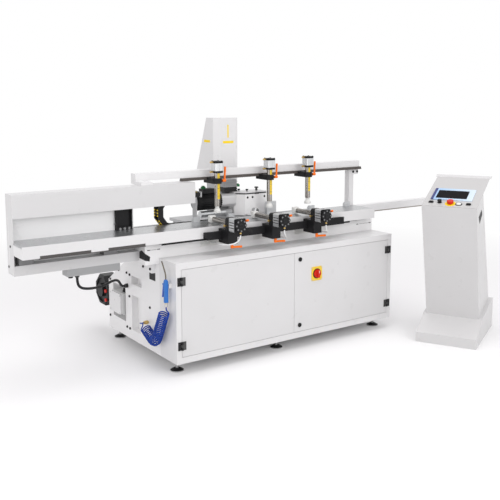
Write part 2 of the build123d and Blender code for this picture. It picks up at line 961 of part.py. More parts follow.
def lever(hub, axis, hub_length, arm, length):
    """Clamping lever: a round hub along axis and a tapering arm that leaves it at its far end."""
    axis = Vector(*axis)
    arm = Vector(*arm).normalized()
    hub_plane = Plane(origin=hub, z_dir=axis)
    with BuildSketch(hub_plane) as hub_end:
        Circle(lever_hub_radius)
    extrude(hub_end.sketch, amount=hub_length)
    arm_start = Vector(*hub) + axis * (hub_length - lever_tip_radius)
    with BuildSketch(Plane(origin=arm_start, z_dir=arm)) as root:
        Circle(lever_arm_radius)
    with BuildSketch(Plane(origin=arm_start + arm * length, z_dir=arm)) as tip:
        Circle(lever_tip_radius)
    loft([root.sketch, tip.sketch])


# Vertical clamps on the beam rail
clamp_y = cab_front + vertical_clamp_setback
bracket_top = beam_low - vertical_bracket_top_gap
jaw_back = beam_rail_back + 2 * dovetail_slope
rail_cut = (
    (beam_rail_front - slide_clearance, beam_low - beam_rail_height - slide_clearance),
    (beam_rail_back + slide_clearance, beam_low - beam_rail_height - slide_clearance),
    (beam_rail_back + slide_clearance - dovetail_slope, beam_low),
    (beam_rail_front - slide_clearance + dovetail_slope, beam_low),
)
lever_seat = vertical_bracket_width / 2
lever_z = (vertical_bracket_low + bracket_top) / 2
for number, d in enumerate(vertical_clamp_x, start=1):
    x = cab_left + d
    with BuildPart() as vertical_bracket:
        with BuildSketch(level(vertical_bracket_low)):
            with Locations((x, clamp_y)):
                Circle(vertical_boss_radius)
            with Locations((x, (clamp_y + jaw_back) / 2)):
                Rectangle(vertical_bracket_width, jaw_back - clamp_y)
        extrude(amount=bracket_top - vertical_bracket_low)
        with BuildSketch(side_plane(x - vertical_bracket_width)):
            Polygon(*rail_cut, align=None)
        extrude(amount=2 * vertical_bracket_width, mode=Mode.SUBTRACT)
        with BuildSketch(level(vertical_bracket_low)):
            with Locations((x, clamp_y)):
                Circle(column_radius + bore_clearance)
        extrude(amount=bracket_top - vertical_bracket_low, mode=Mode.SUBTRACT)
    keep(vertical_bracket, f"vertical_bracket_{number}")

    with BuildPart() as clamp_column:
        with BuildSketch(level(column_low)):
            with Locations((x, clamp_y)):
                Circle(column_radius)
        extrude(amount=column_cap_low - column_low)
        with BuildSketch(level(column_cap_low)):
            with Locations((x, clamp_y)):
                RectangleRounded(cylinder_side, cylinder_side, cylinder_side / 8)
        extrude(amount=cylinder_height)
        with BuildSketch(level(column_cap_low + cylinder_cap)):
            with Locations((x, clamp_y)):
                with PolarLocations(cylinder_side / 2, 4):
                    Circle(cylinder_side / 18)
        extrude(amount=cylinder_height - 2 * cylinder_cap, mode=Mode.SUBTRACT)
        with BuildSketch(level(column_low)):
            with Locations((x, clamp_y)):
                Circle(rod_radius + bore_clearance)
        extrude(amount=rod_bore_depth, mode=Mode.SUBTRACT)
    keep(clamp_column, f"clamp_column_{number}")

    foot_top = column_low - foot_gap
    with BuildPart() as pressure_foot:
        with BuildSketch(Plane.XZ.offset(-clamp_y)):
            with BuildLine():
                Polyline(
                    (x, foot_top + rod_length),
                    (x, foot_top - vertical_foot_height),
                    (x + vertical_foot_radius, foot_top - vertical_foot_height),
                    (x + vertical_foot_radius, foot_top - 0.7 * vertical_foot_height),
                    (x + vertical_foot_neck_radius, foot_top - 0.3 * vertical_foot_height),
                    (x + vertical_foot_neck_radius, foot_top),
                    (x + rod_radius, foot_top),
                    (x + rod_radius, foot_top + rod_length),
                    close=True,
                )
            make_face()
        revolve(axis=Axis((x, clamp_y, 0), (0, 0, 1)))
    keep(pressure_foot, f"vertical_foot_{number}")

    with BuildPart() as column_lever:
        lever(
            (x + lever_seat + lever_gap, cab_front + vertical_lever_setback, lever_z),
            (1, 0, 0),
            vertical_lever_hub,
            (0.08, 0.05, 1),
            vertical_lever_length,
        )
    keep(column_lever, f"column_lever_{number}")

# Front clamps on the front rail
bracket_front_y = cab_front + front_bracket_front
bracket_back_y = bracket_front_y + front_bracket_plate
jaw_back_y = cab_front + front_jaw_back
bracket_outline = (
    (bracket_front_y, front_jaw_low),
    (jaw_back_y, front_jaw_low),
    (jaw_back_y, front_jaw_top),
    (bracket_back_y, front_jaw_top),
    (bracket_back_y, front_bracket_top),
    (bracket_front_y, front_bracket_top),
)
front_rail_cut = (
    (front_rail_front - slide_clearance, front_rail_rise - slide_clearance),
    (table_front, front_rail_rise - slide_clearance + dovetail_slope),
    (table_front, front_rail_high + slide_clearance - dovetail_slope),
    (front_rail_front - slide_clearance, front_rail_high + slide_clearance),
)
body_back = bracket_front_y - control_gap - front_spacer
body_front = body_back - front_body_length
cap_front = body_front - front_cap
tube_end = cab_front + front_tube_end
fitting_top = front_clamp_axis_rise - front_body_side / 2
fitting_y = body_front - front_cap / 2
hub_y = cab_front + rail_lever_setback
for number, x in enumerate(clamp_x, start=1):
    with BuildPart() as front_bracket:
        with BuildSketch(side_plane(x - front_bracket_width / 2)):
            Polygon(*bracket_outline, align=None)
            Polygon(*front_rail_cut, align=None, mode=Mode.SUBTRACT)
        extrude(amount=front_bracket_width)
        top_corners = front_bracket.edges().filter_by(Axis.Y).group_by(Axis.Z)[-1]
        fillet(top_corners, radius=front_bracket_width / 4)
        with BuildSketch(front_plane(bracket_front_y)):
            with Locations((x, front_clamp_axis_rise)):
                Circle(front_tube_radius + bore_clearance)
        extrude(amount=-front_bracket_plate, mode=Mode.SUBTRACT)
        lock_y = (bracket_front_y + bracket_back_y) / 2
        tube_lock = (x + front_bracket_width / 2, lock_y, front_clamp_axis_rise)
        lever(tube_lock, (1, 0, 0), tube_lever_hub, (0.05, -1, 0.28), tube_lever_length)
    keep(front_bracket, f"front_bracket_{number}")

    with BuildPart() as front_cylinder:
        with BuildSketch(front_plane(tube_end)):
            with Locations((x, front_clamp_axis_rise)):
                Circle(front_tube_radius)
        extrude(amount=tube_end - bracket_front_y + control_gap)
        with BuildSketch(front_plane(bracket_front_y - control_gap)):
            with Locations((x, front_clamp_axis_rise)):
                Circle(front_spacer_radius)
        extrude(amount=front_spacer)
        with BuildSketch(front_plane(body_back)):
            with Locations((x, front_clamp_axis_rise)):
                RectangleRounded(front_body_side, front_body_side, front_body_side / 10)
        extrude(amount=front_body_length)
        with BuildSketch(front_plane(body_front)):
            with Locations((x, front_clamp_axis_rise)):
                Circle(front_body_side / 2 - front_cap_lobe / 2)
                with PolarLocations(front_body_side / 2 - front_cap_lobe, 8):
                    Circle(front_cap_lobe)
        extrude(amount=front_cap)
        with BuildSketch(level(fitting_top + front_cap_lobe)):
            with Locations((x, fitting_y)):
                Circle(hose_fitting_radius)
        extrude(amount=-front_cap_lobe - hose_fitting_length)
        with BuildSketch(front_plane(tube_end)):
            with Locations((x, front_clamp_axis_rise)):
                Circle(rod_radius + bore_clearance)
        extrude(amount=rod_bore_depth, mode=Mode.SUBTRACT)
    keep(front_cylinder, f"front_cylinder_{number}")

    pad_back = tube_end + foot_gap
    with BuildPart() as pressure_pad:
        with BuildSketch(front_plane(pad_back + pad_length)):
            with Locations((x, front_clamp_axis_rise)):
                RectangleRounded(2 * pad_radius, 2 * pad_radius, pad_radius / 4)
        extrude(amount=0.7 * pad_length)
        with BuildSketch(front_plane(pad_back + pad_length / 2)):
            with Locations((x, front_clamp_axis_rise)):
                Circle(pad_neck_radius)
        extrude(amount=pad_length / 2)
        with BuildSketch(front_plane(pad_back)):
            with Locations((x, front_clamp_axis_rise)):
                Circle(rod_radius)
        extrude(amount=rod_length)
    keep(pressure_pad, f"front_foot_{number}")

    with BuildPart() as rail_lever:
        rail_lock = (x, hub_y, front_jaw_low - lever_gap)
        lever(rail_lock, (0, 0, -1), rail_lever_hub, (1, -0.35, 0), rail_lever_length)
    keep(rail_lever, f"rail_lever_{number}")


def cord_radii(points, name):
    """Corner radii of a cord's route: as large as its runs allow."""
    radii = []
    points = [Vector(*p) for p in points]
    for before, corner, after in zip(points, points[1:], points[2:]):
        turn = radians((corner - before).get_angle(after - corner))
        shorter = min((corner - before).length, (after - corner).length)
        radii.append(0.45 * shorter / tan(turn / 2))
    print(name, "radii", [round(r) for r in radii])
    return radii


def cord_tube(points, diameter, name):
    """A cord as a round tube along straight runs and tangent arcs."""
    with BuildLine():
        route = FilletPolyline(*points, radius=cord_radii(points, name))
    with BuildSketch(Plane(origin=points[0], z_dir=route % 0)) as section:
        Circle(diameter / 2)
    sweep(section.sketch, path=route)
    return route.length


# Air hoses from the front cylinders into the bed's slots
hose_top = fitting_top - hose_fitting_length
hose_steps = (
    (0.0, 0.0, 0.0),
    (0.0, 0.0, -26.0),
    (27.0, 16.0, -50.0),
    (55.0, 52.0, -61.0),
    (66.0, 102.0, -66.0),
    (60.0, 152.0, -68.0),
    (46.0, 200.0, -72.0),
    (37.0, 250.0, -79.0),
    (35.0, 310.0, -83.0),
    (35.5, 370.0, -83.5),
)
for number, (x, side) in enumerate(zip(clamp_x, hose_sides), start=1):
    hose_points = [(x + side * dx, fitting_y + dy, hose_top + dz) for dx, dy, dz in hose_steps]
    with BuildPart() as air_hose:
        hose_length = cord_tube(hose_points, hose_diameter, f"air_hose_{number}")
    print("air hose", number, "length", round(hose_length))
    keep(air_hose, f"air_hose_{number}")

# Head carriage: plate on four rail blocks, the column with its lift rails and the chain bracket
carriage_x = cab_left + carriage_left
carriage_right = carriage_x + carriage_length
carriage_low = bed_top + traverse_rail_height + carriage_lift
carriage_top = carriage_low + carriage_plate
carriage_front = rail_y[0] - (carriage_depth - traverse_rail_spacing) / 2
column_front = cab_front + column_setback
column_x = cab_left + head_x
column_top = carriage_top + column_height
chain_low_y = cab_front + chain_setback
chain_high_y = chain_low_y + chain_width
chain_pitch = 2 * chain_loop_radius * sin(pi / 2 / chain_turn_links)
chain_x = cab_left + chain_loop_x
chain_high_end = chain_x + chain_high_links * chain_pitch
chain_low_end = chain_x + chain_low_links * chain_pitch
chain_high_z = chain_loop_rise + chain_loop_radius
chain_low_z = chain_loop_rise - chain_loop_radius
chain_reach = chain_link_radius + chain_gap
with BuildPart() as head_carriage:
    block(
        (carriage_x, carriage_right),
        (carriage_front, carriage_front + carriage_depth),
        (carriage_low, carriage_top),
    )
    for x in (
        carriage_x + carriage_block_inset,
        carriage_right - carriage_block_inset - carriage_block_length,
    ):
        for y in rail_y:
            block(
                (x, x + carriage_block_length),
                (y - carriage_block_width / 2, y + carriage_block_width / 2),
                (bed_top + slide_clearance * 5, carriage_low),
            )
    for y in rail_y:
        half = traverse_rail_width / 2 + slide_clearance
        block(
            (carriage_x, carriage_right),
            (y - half, y + half),
            (bed_top, bed_top + traverse_rail_height + slide_clearance),
            mode=Mode.SUBTRACT,
        )
    # Column tube and its two lift rails
    with BuildSketch(level(carriage_top)):
        with Locations((column_x, column_front + column_depth / 2)):
            Rectangle(column_width, column_depth)
            Rectangle(column_width - 2 * column_wall, column_depth - 2 * column_wall, mode=Mode.SUBTRACT)
    extrude(amount=column_height - column_wall)
    with BuildSketch(level(column_top - column_wall)):
        with Locations((column_x, column_front + column_depth / 2)):
            Rectangle(column_width, column_depth)
    extrude(amount=column_wall)
    for side in (-1, 1):
        rail_x = column_x + side * lift_rail_spacing / 2
        block(
            (rail_x - lift_rail_width / 2, rail_x + lift_rail_width / 2),
            (column_front - lift_rail_depth, column_front),
            (carriage_top + lift_rail_bottom, cover_low),
        )
    # Bracket that takes the moving end of the energy chain
    bracket_x = chain_high_end + chain_reach
    block(
        (bracket_x, bracket_x + chain_end_plate),
        (chain_high_y + chain_gap, carriage_front + 2 * chain_end_plate),
        (carriage_low, chain_high_z + chain_link_radius),
    )
    block(
        (bracket_x, bracket_x + chain_end_plate),
        (chain_low_y, carriage_front),
        (chain_high_z - chain_link_radius, chain_high_z + chain_link_radius),
    )
    block(
        (bracket_x, carriage_x + chain_end_plate),
        (carriage_front, carriage_front + 2 * chain_end_plate),
        (carriage_low, carriage_top),
    )
keep(head_carriage, "head_carriage")

# Column cover: tapered sheet box with chamfered front corners, open below
cover_front = cab_front + cover_front_setback


def cover_section(depth, inset):
    """Plan of the cover at one height, drawn inside an open sketch."""
    half_front = cover_half_front - inset * 0.41
    half_width = cover_half_width - inset
    front = cover_front + inset
    back = cover_front + depth - inset
    Polygon(
        (column_x - half_front, front),
        (column_x + half_front, front),
        (column_x + half_width, front + half_width - half_front),
        (column_x + half_width, back),
        (column_x - half_width, back),
        (column_x - half_width, front + half_width - half_front),
        align=None,
    )


with BuildPart() as column_cover:
    with BuildSketch(level(cover_low)):
        cover_section(cover_foot_depth, 0)
    with BuildSketch(level(cover_high)):
        cover_section(cover_top_depth, 0)
    loft(ruled=True)
    with BuildSketch(level(cover_low)):
        cover_section(cover_foot_depth, cover_wall)
    with BuildSketch(level(cover_high - cover_wall)):
        cover_section(cover_top_depth, cover_wall)
    loft(ruled=True, mode=Mode.SUBTRACT)
    # Inner flange that bolts to the column's top
    flange_half = cover_half_width - cover_wall / 2
    block(
        (column_x - flange_half, column_x + flange_half),
        (column_front, column_front + column_depth),
        (column_top, column_top + column_wall),
    )
keep(column_cover, "column_cover")

# Lift slide: plate on the lift rails, the arm with its feed rails, the lift drive and the feed drive
slide_front = column_front - lift_rail_depth + slide_clearance * 5 - slide_plate
slide_back = slide_front + slide_plate
arm_left = column_x - slide_width / 2
arm_right_x = cab_left + arm_right
arm_front = cab_front + arm_front_setback
arm_top = slide_low + arm_plate
drive_low = slide_high + slide_clearance * 10
feed_axis_y = cab_front + feed_drive_setback
with BuildPart() as head_slide:
    block((arm_left, arm_left + slide_width), (slide_front, slide_back), (slide_low, slide_high))
    block((arm_left, arm_right_x), (arm_front, slide_front), (slide_low, arm_top))
    for side in (-1, 1):
        rail_x = column_x + side * lift_rail_spacing / 2
        half = lift_rail_width / 2 + slide_clearance
        block(
            (rail_x - half, rail_x + half),
            (column_front - lift_rail_depth - slide_clearance, slide_back),
            (slide_low, slide_high),
            mode=Mode.SUBTRACT,
        )
    for d in arm_rail_x:
        block(
            (cab_left + d - arm_rail_width / 2, cab_left + d + arm_rail_width / 2),
            (arm_front, slide_front),
            (arm_top, arm_top + arm_rail_height),
        )
    # Lift drive on a shelf in front of the slide plate
    block(
        (arm_left, arm_left + drive_width),
        (slide_front - drive_depth, slide_front),
        (drive_low, drive_low + drive_height),
    )
    block(
        (arm_left, arm_left + drive_width),
        (slide_front - 0.4 * drive_depth, slide_front),
        (slide_high - 0.5 * drive_height, drive_low),
    )
    for k in range(5):
        fin_low = drive_low + (k + 0.5) * drive_height / 5
        block(
            (arm_left, arm_left + drive_width),
            (slide_front - drive_depth, slide_front - 0.92 * drive_depth),
            (fin_low, fin_low + drive_height / 10),
            mode=Mode.SUBTRACT,
        )
    with BuildSketch(side_plane(arm_left)):
        with Locations((feed_axis_y, feed_drive_rise)):
            Circle(feed_drive_radius)
            with Locations((0, -feed_drive_radius)):
                Rectangle(1.4 * feed_drive_radius, 2 * (feed_drive_rise - feed_drive_radius - arm_top))
    extrude(amount=2 * feed_drive_radius)
    with BuildSketch(side_plane(arm_left)):
        with Locations((feed_axis_y, feed_drive_rise)):
            Circle(feed_drive_radius)
    extrude(amount=cab_left + feed_drive_left - arm_left)
keep(head_slide, "head_slide")

# Spindle housing: box on the feed rails, lid, knob and the adaptor to the motor
housing_x = (cab_left + housing_left, cab_left + housing_right)
housing_front = cab_front + housing_front_setback
housing_back = housing_front + housing_depth
motor_y = cab_front + motor_axis_setback
shaft_axis_x = cab_left + spindle_x
housing_middle = ((housing_x[0] + housing_x[1]) / 2, (housing_front + housing_back) / 2)
with BuildPart() as spindle_housing:
    block(housing_x, (housing_front, housing_back), (housing_low, housing_high))
    upright_edges = spindle_housing.edges().filter_by(Axis.Z)
    chamfer(upright_edges.sort_by_distance((housing_x[0], housing_front, 0))[0], length=housing_corner)
    with BuildSketch(level(housing_high)) as housing_lid:
        with Locations(housing_middle):
            Rectangle(housing_x[1] - housing_x[0] - 2 * lid_margin, housing_depth - 2 * lid_margin)
        lid_corners = housing_lid.vertices().sort_by_distance((housing_x[0], housing_front))
        chamfer(lid_corners[0], length=housing_corner)
    extrude(amount=lid_height)
    with BuildSketch(level(housing_high + lid_height)):
        with Locations((cab_left + knob_x, housing_middle[1])):
            Circle(knob_radius / 2)
    extrude(amount=knob_height)
    with BuildSketch(level(housing_high + lid_height + knob_height)):
        with Locations((cab_left + knob_x, housing_middle[1])):
            Circle(knob_radius)
    extrude(amount=knob_height / 2, taper=20)
    for d in arm_rail_x:
        half = arm_rail_width / 2 + slide_clearance
        block(
            (cab_left + d - half, cab_left + d + half),
            (housing_front, housing_back),
            (housing_low, arm_top + arm_rail_height + slide_clearance),
            mode=Mode.SUBTRACT,
        )
    with BuildSketch(side_plane(cab_left + adaptor_left)):
        with Locations((motor_y, motor_axis_rise)):
            RectangleRounded(adaptor_depth, adaptor_height, adaptor_height / 4)
    extrude(amount=housing_x[0] - cab_left - adaptor_left)
    with BuildSketch(front_plane(housing_front)):
        with Locations((shaft_axis_x, spindle_rise)):
            Circle(spindle_shaft_radius + shaft_clearance)
    extrude(amount=-(spindle_shaft_length + chuck_gap), mode=Mode.SUBTRACT)
keep(spindle_housing, "spindle_housing")

# Spindle motor: finned barrel with an end cap
fin_start = cab_left + motor_left + motor_cap_length
with BuildPart() as spindle_motor:
    with BuildSketch(side_plane(fin_start)):
        with Locations((motor_y, motor_axis_rise)):
            Circle(motor_radius)
            with PolarLocations(motor_radius, motor_fin_count):
                Rectangle(2 * motor_fin_depth, motor_fin_depth, mode=Mode.SUBTRACT)
    extrude(amount=cab_left + adaptor_left - fin_start)
    with BuildSketch(side_plane(fin_start)):
        with Locations((motor_y, motor_axis_rise)):
            Circle(motor_radius)
    extrude(amount=-motor_cap_length)
    end_rim = spindle_motor.faces().sort_by(Axis.X)[0].edges()
    chamfer(end_rim, length=motor_fin_depth)
keep(spindle_motor, "spindle_motor")

# Spindle: shaft and chuck with the tool bore
chuck_back = housing_front - chuck_gap
with BuildPart() as spindle_chuck:
    with BuildSketch(front_plane(chuck_back)):
        with Locations((shaft_axis_x, spindle_rise)):
            Circle(chuck_radius)
    extrude(amount=chuck_length)
    chamfer(spindle_chuck.faces().sort_by(Axis.Y)[0].edges(), length=chuck_radius / 4)
    with BuildSketch(front_plane(chuck_back)):
        with Locations((shaft_axis_x, spindle_rise)):
            Circle(spindle_shaft_radius)
    extrude(amount=-spindle_shaft_length)
    with BuildSketch(front_plane(chuck_back - chuck_length)):
        with Locations((shaft_axis_x, spindle_rise)):
            Circle(chuck_bore_radius)
    extrude(amount=-chuck_bore_depth, mode=Mode.SUBTRACT)
keep(spindle_chuck, "spindle_chuck")

# Energy chain: alternate wide and narrow links, studs of the wide ones in holes of the narrow ones
chain_middle_y = (chain_low_y + chain_high_y) / 2
chain_points = [
    (chain_low_end - k * chain_pitch, chain_low_z) for k in range(chain_low_links + 1)
]
chain_points += [
    (
        chain_x - chain_loop_radius * sin(pi * k / chain_turn_links),
        chain_loop_rise - chain_loop_radius * cos(pi * k / chain_turn_links),
    )
    for k in range(1, chain_turn_links)
]
chain_points += [(chain_x + k * chain_pitch, chain_high_z) for k in range(chain_high_links + 1)]


def chain_link(start, end, wide):
    """One link between two pins: two side plates and two bars."""
    along = (end[0] - start[0], 0, end[1] - start[1])
    middle = ((start[0] + end[0]) / 2, chain_middle_y, (start[1] + end[1]) / 2)
    half_width = chain_width / 2 - (0 if wide else chain_side + chain_gap)
    for side in (-1, 1):
        inner_face = Plane(origin=middle, x_dir=along, z_dir=(0, side, 0)).offset(half_width - chain_side)
        with BuildSketch(inner_face) as plate:
            SlotCenterToCenter(chain_pitch, 2 * chain_link_radius)
            if not wide:
                with GridLocations(chain_pitch, 0, 2, 1):
                    Circle(chain_stud_radius + bore_clearance, mode=Mode.SUBTRACT)
        extrude(plate.sketch, amount=chain_side)
        if wide:
            with BuildSketch(inner_face) as studs:
                with GridLocations(chain_pitch, 0, 2, 1):
                    Circle(chain_stud_radius)
            extrude(studs.sketch, amount=-chain_side)
    bar_plane = Plane(origin=middle, x_dir=along, z_dir=(0, 1, 0)).offset(chain_side - half_width)
    with BuildSketch(bar_plane) as bars:
        with GridLocations(0, 2 * chain_link_radius - chain_bar, 1, 2):
            Rectangle(chain_bar_width, chain_bar)
    extrude(bars.sketch, amount=2 * (half_width - chain_side))


with BuildPart() as energy_chain:
    for index, (start, end) in enumerate(zip(chain_points, chain_points[1:])):
        chain_link(start, end, index % 2 == 0)
keep(energy_chain, "energy_chain")

# Control gear: panel with drives in the cabinet, junction box in the frame, cable tray and chain stand
tray_x = far_left + tray_left
tray_front = guard_front + 2 * tray_wall
gland_x = cab_left + cable_route[0][0]
gland_y = cab_front + cable_route[0][1]
gear_left = cab_left + gear_margin
with BuildPart() as electrical_gear:
    block(
        (gear_left, cab_right - gear_margin),
        (cab_back - sheet - gear_panel, cab_back - sheet),
        (cab_low + gear_margin, cab_top - gear_margin),
    )
    for k in range(gear_count):
        x = gear_left + gear_margin + k * gear_pitch
        block(
            (x, x + gear_width),
            (cab_back - sheet - gear_panel - gear_depth, cab_back - sheet - gear_panel),
            ((cab_low + cab_top - gear_height) / 2, (cab_low + cab_top + gear_height) / 2),
        )
    block(
        (cab_left - junction_box_proud, cab_left + box_recess_depth),
        (box_y - junction_box_width / 2, box_y + junction_box_width / 2),
        (box_z - junction_box_height / 2, box_z + junction_box_height / 2),
    )
    block(
        (tray_x, tray_x + tray_length),
        (tray_front, tray_front + tray_depth),
        (guard_low - tray_height, guard_low),
    )
    block(
        (tray_x + tray_wall, tray_x + tray_length - tray_wall),
        (tray_front + tray_wall, tray_front + tray_depth - tray_wall),
        (guard_low - tray_height + tray_wall, guard_low - tray_wall),
        mode=Mode.SUBTRACT,
    )
    with BuildSketch(level(guard_low - tray_height)):
        with Locations((gland_x, gland_y), (gland_x - 3 * gland_radius, gland_y)):
            Circle(gland_radius)
    extrude(amount=-gland_length)
    block(
        (chain_low_end - chain_pitch, chain_low_end + chain_link_radius),
        (chain_low_y, chain_high_y),
        (bed_top, chain_low_z - chain_reach),
    )
keep(electrical_gear, "electrical_gear")

cable_points = [(cab_left + x, cab_front + y, z) for x, y, z in cable_route]
with BuildPart() as tray_cable:
    cable_length = cord_tube(cable_points, cable_diameter, "tray_cable")
print("tray cable length", round(cable_length))
keep(tray_cable, "tray_cable")

# Blow gun on its hook at the cabinet's left side
gun_x = cab_left - gun_gap
gun_y = cab_front + gun_setback
half_handle = gun_handle_width / 2
barrel_top = gun_high - half_handle
nozzle_x = gun_x - gun_thickness / 2
trigger_face = gun_y + half_handle + trigger_clearance
pivot_y = trigger_face + trigger_eye_radius
pivot_z = barrel_top - 0.6 * gun_handle_width
ear_start = trigger_thickness / 2 + trigger_clearance
with BuildPart() as blow_gun:
    with BuildSketch(level(gun_low)):
        with Locations((nozzle_x, gun_y)):
            RectangleRounded(gun_thickness, gun_handle_width, gun_thickness / 3)
    extrude(amount=barrel_top - gun_low)
    with BuildSketch(level(barrel_top)):
        with Locations((nozzle_x, gun_y)):
            RectangleRounded(gun_thickness, gun_handle_width, gun_thickness / 3)
    extrude(amount=gun_high - barrel_top, taper=20)
    with BuildLine():
        nozzle_route = FilletPolyline(
            (nozzle_x, gun_y, gun_high - gun_nozzle_radius),
            (nozzle_x, gun_y, gun_high + gun_nozzle_rise[0]),
            (nozzle_x, gun_y + gun_nozzle_reach, gun_high + gun_nozzle_rise[1]),
            radius=gun_nozzle_bend,
        )
    with BuildSketch(level(gun_high - gun_nozzle_radius)):
        with Locations((nozzle_x, gun_y)):
            Circle(gun_nozzle_radius)
    sweep(path=nozzle_route)
    # Inlet fitting below the handle
    with BuildSketch(level(gun_low)):
        with Locations((nozzle_x, gun_y)):
            Circle(0.7 * half_handle)
    extrude(amount=-gun_handle_width)
    # Two ears and the pin of the trigger
    for ear_x in (nozzle_x - ear_start - trigger_ear, nozzle_x + ear_start):
        block(
            (ear_x, ear_x + trigger_ear),
            (gun_y, pivot_y + trigger_eye_radius),
            (pivot_z - trigger_eye_radius, pivot_z + trigger_eye_radius),
        )
    with BuildSketch(side_plane(nozzle_x - ear_start)):
        with Locations((pivot_y, pivot_z)):
            Circle(trigger_pin_radius)
    extrude(amount=2 * ear_start)
    # Hook block on the cabinet side, which the gun hangs from
    block(
        (gun_x, cab_left),
        (gun_y - half_handle, gun_y + half_handle),
        (barrel_top - 1.5 * gun_handle_width, barrel_top - 0.5 * gun_handle_width),
    )
keep(blow_gun, "blow_gun")

# Trigger: lever along the handle's rear side, on the gun's pin
trigger_low = gun_low + gun_handle_width
with BuildPart() as gun_trigger:
    with BuildSketch(side_plane(nozzle_x - trigger_thickness / 2)):
        Polygon(
            (pivot_y - trigger_eye_radius, pivot_z),
            (pivot_y + trigger_eye_radius, pivot_z),
            (trigger_face + 0.9 * gun_handle_width, trigger_low),
            (trigger_face + 0.65 * gun_handle_width, trigger_low),
            align=None,
        )
        with Locations((pivot_y, pivot_z)):
            Circle(trigger_eye_radius)
            Circle(trigger_pin_radius + shaft_clearance, mode=Mode.SUBTRACT)
    extrude(amount=trigger_thickness)
keep(gun_trigger, "gun_trigger")

# Coiled hose: centreline of two legs and one bend, wound as a helix
coil_x = cab_left - coil_offset
hose_radius = coil_hose_diameter / 2
leg_one = Vector(coil_corner[0] - coil_start[0], coil_corner[1] - coil_start[1])
leg_two = Vector(coil_end[0] - coil_corner[0], coil_end[1] - coil_corner[1])
bend_turn = radians(leg_one.get_angle(leg_two))
bend_cut = coil_bend_radius * tan(bend_turn / 2)
lengths = (leg_one.length - bend_cut, coil_bend_radius * bend_turn, leg_two.length - bend_cut)
coil_length = sum(lengths)


def coil_axis(s):
    """Point and direction of the coil's centreline at distance s, in the plane of the cabinet side."""
    one = leg_one.normalized()
    two = leg_two.normalized()
    start = Vector(*coil_start)
    if s < lengths[0]:
        return start + one * s, one
    bend_start = start + one * lengths[0]
    if s < lengths[0] + lengths[1]:
        angle = (s - lengths[0]) / coil_bend_radius
        normal = Vector(-one.Y, one.X)
        along = one * cos(angle) + normal * sin(angle)
        centre = bend_start + normal * coil_bend_radius
        return centre + (one * sin(angle) - normal * cos(angle)) * coil_bend_radius, along
    past = s - lengths[0] - lengths[1]
    return Vector(*coil_corner) + two * (bend_cut + past), two


def coil_point(turn):
    """Point of the hose after a number of turns."""
    point, along = coil_axis(coil_length * turn / coil_turns)
    angle = 2 * pi * turn
    across = Vector(-along.Y, along.X)
    shift = across * (coil_radius * cos(angle))
    return Vector(
        coil_x + coil_radius * sin(angle),
        cab_front + point.X + shift.X,
        point.Y + shift.Y,
    )


def coil_direction(turn):
    step = 0.002
    return (coil_point(turn + step) - coil_point(turn - step)).normalized()


def biarc(p, p_dir, q, q_dir):
    """Two tangent arcs from p to q that leave and arrive along the given directions."""
    v = q - p
    both = p_dir + q_dir
    a = 2 * (1 - p_dir.dot(q_dir))
    b = v.dot(both)
    d = (sqrt(b * b + a * v.dot(v)) - b) / a
    joint = (p + q + (p_dir - q_dir) * d) * 0.5
    middle = ((q - q_dir * d) - (p + p_dir * d)).normalized()
    TangentArc(p, joint, tangent=p_dir)
    TangentArc(joint, q, tangent=middle)


hose_start = Vector(nozzle_x, gun_y, gun_low - gun_handle_width)
down = Vector(0, 0, -1)
fitting_face = Vector(cab_left - wall_fitting_length, wall_fitting_y, wall_fitting_rise)
inward = Vector(1, 0, 0)
hose_end = fitting_face - inward * coil_hose_diameter
steps = [k / 2 for k in range(2 * coil_turns + 1)]
with BuildPart() as coil_hose:
    with BuildLine() as coil_route:
        Line(hose_start, hose_start + down * coil_hose_diameter)
        first = coil_point(steps[0])
        biarc(hose_start + down * coil_hose_diameter, down, first, coil_direction(steps[0]))
        for before, after in zip(steps, steps[1:]):
            biarc(coil_point(before), coil_direction(before), coil_point(after), coil_direction(after))
        biarc(coil_point(steps[-1]), coil_direction(steps[-1]), hose_end, inward)
        Line(hose_end, fitting_face)
    with BuildSketch(Plane(origin=hose_start, z_dir=down)):
        Circle(hose_radius)
    coil_wire = coil_route.wire()
    sweep(path=coil_wire)
keep(coil_hose, "coil_hose")
samples = [coil_point(k / 40) for k in range(40 * coil_turns)]
gaps = [
    (samples[i] - samples[j]).length - coil_hose_diameter
    for i in range(0, len(samples), 4)
    for j in range(i + 30, min(i + 50, len(samples)))
]
print("coil hose length", round(coil_wire.length), "least gap to itself", round(min(gaps), 2))
coil_volume = pi * hose_radius**2 * coil_wire.length
print("coil volume over section times length", coil_hose.part.volume / coil_volume)

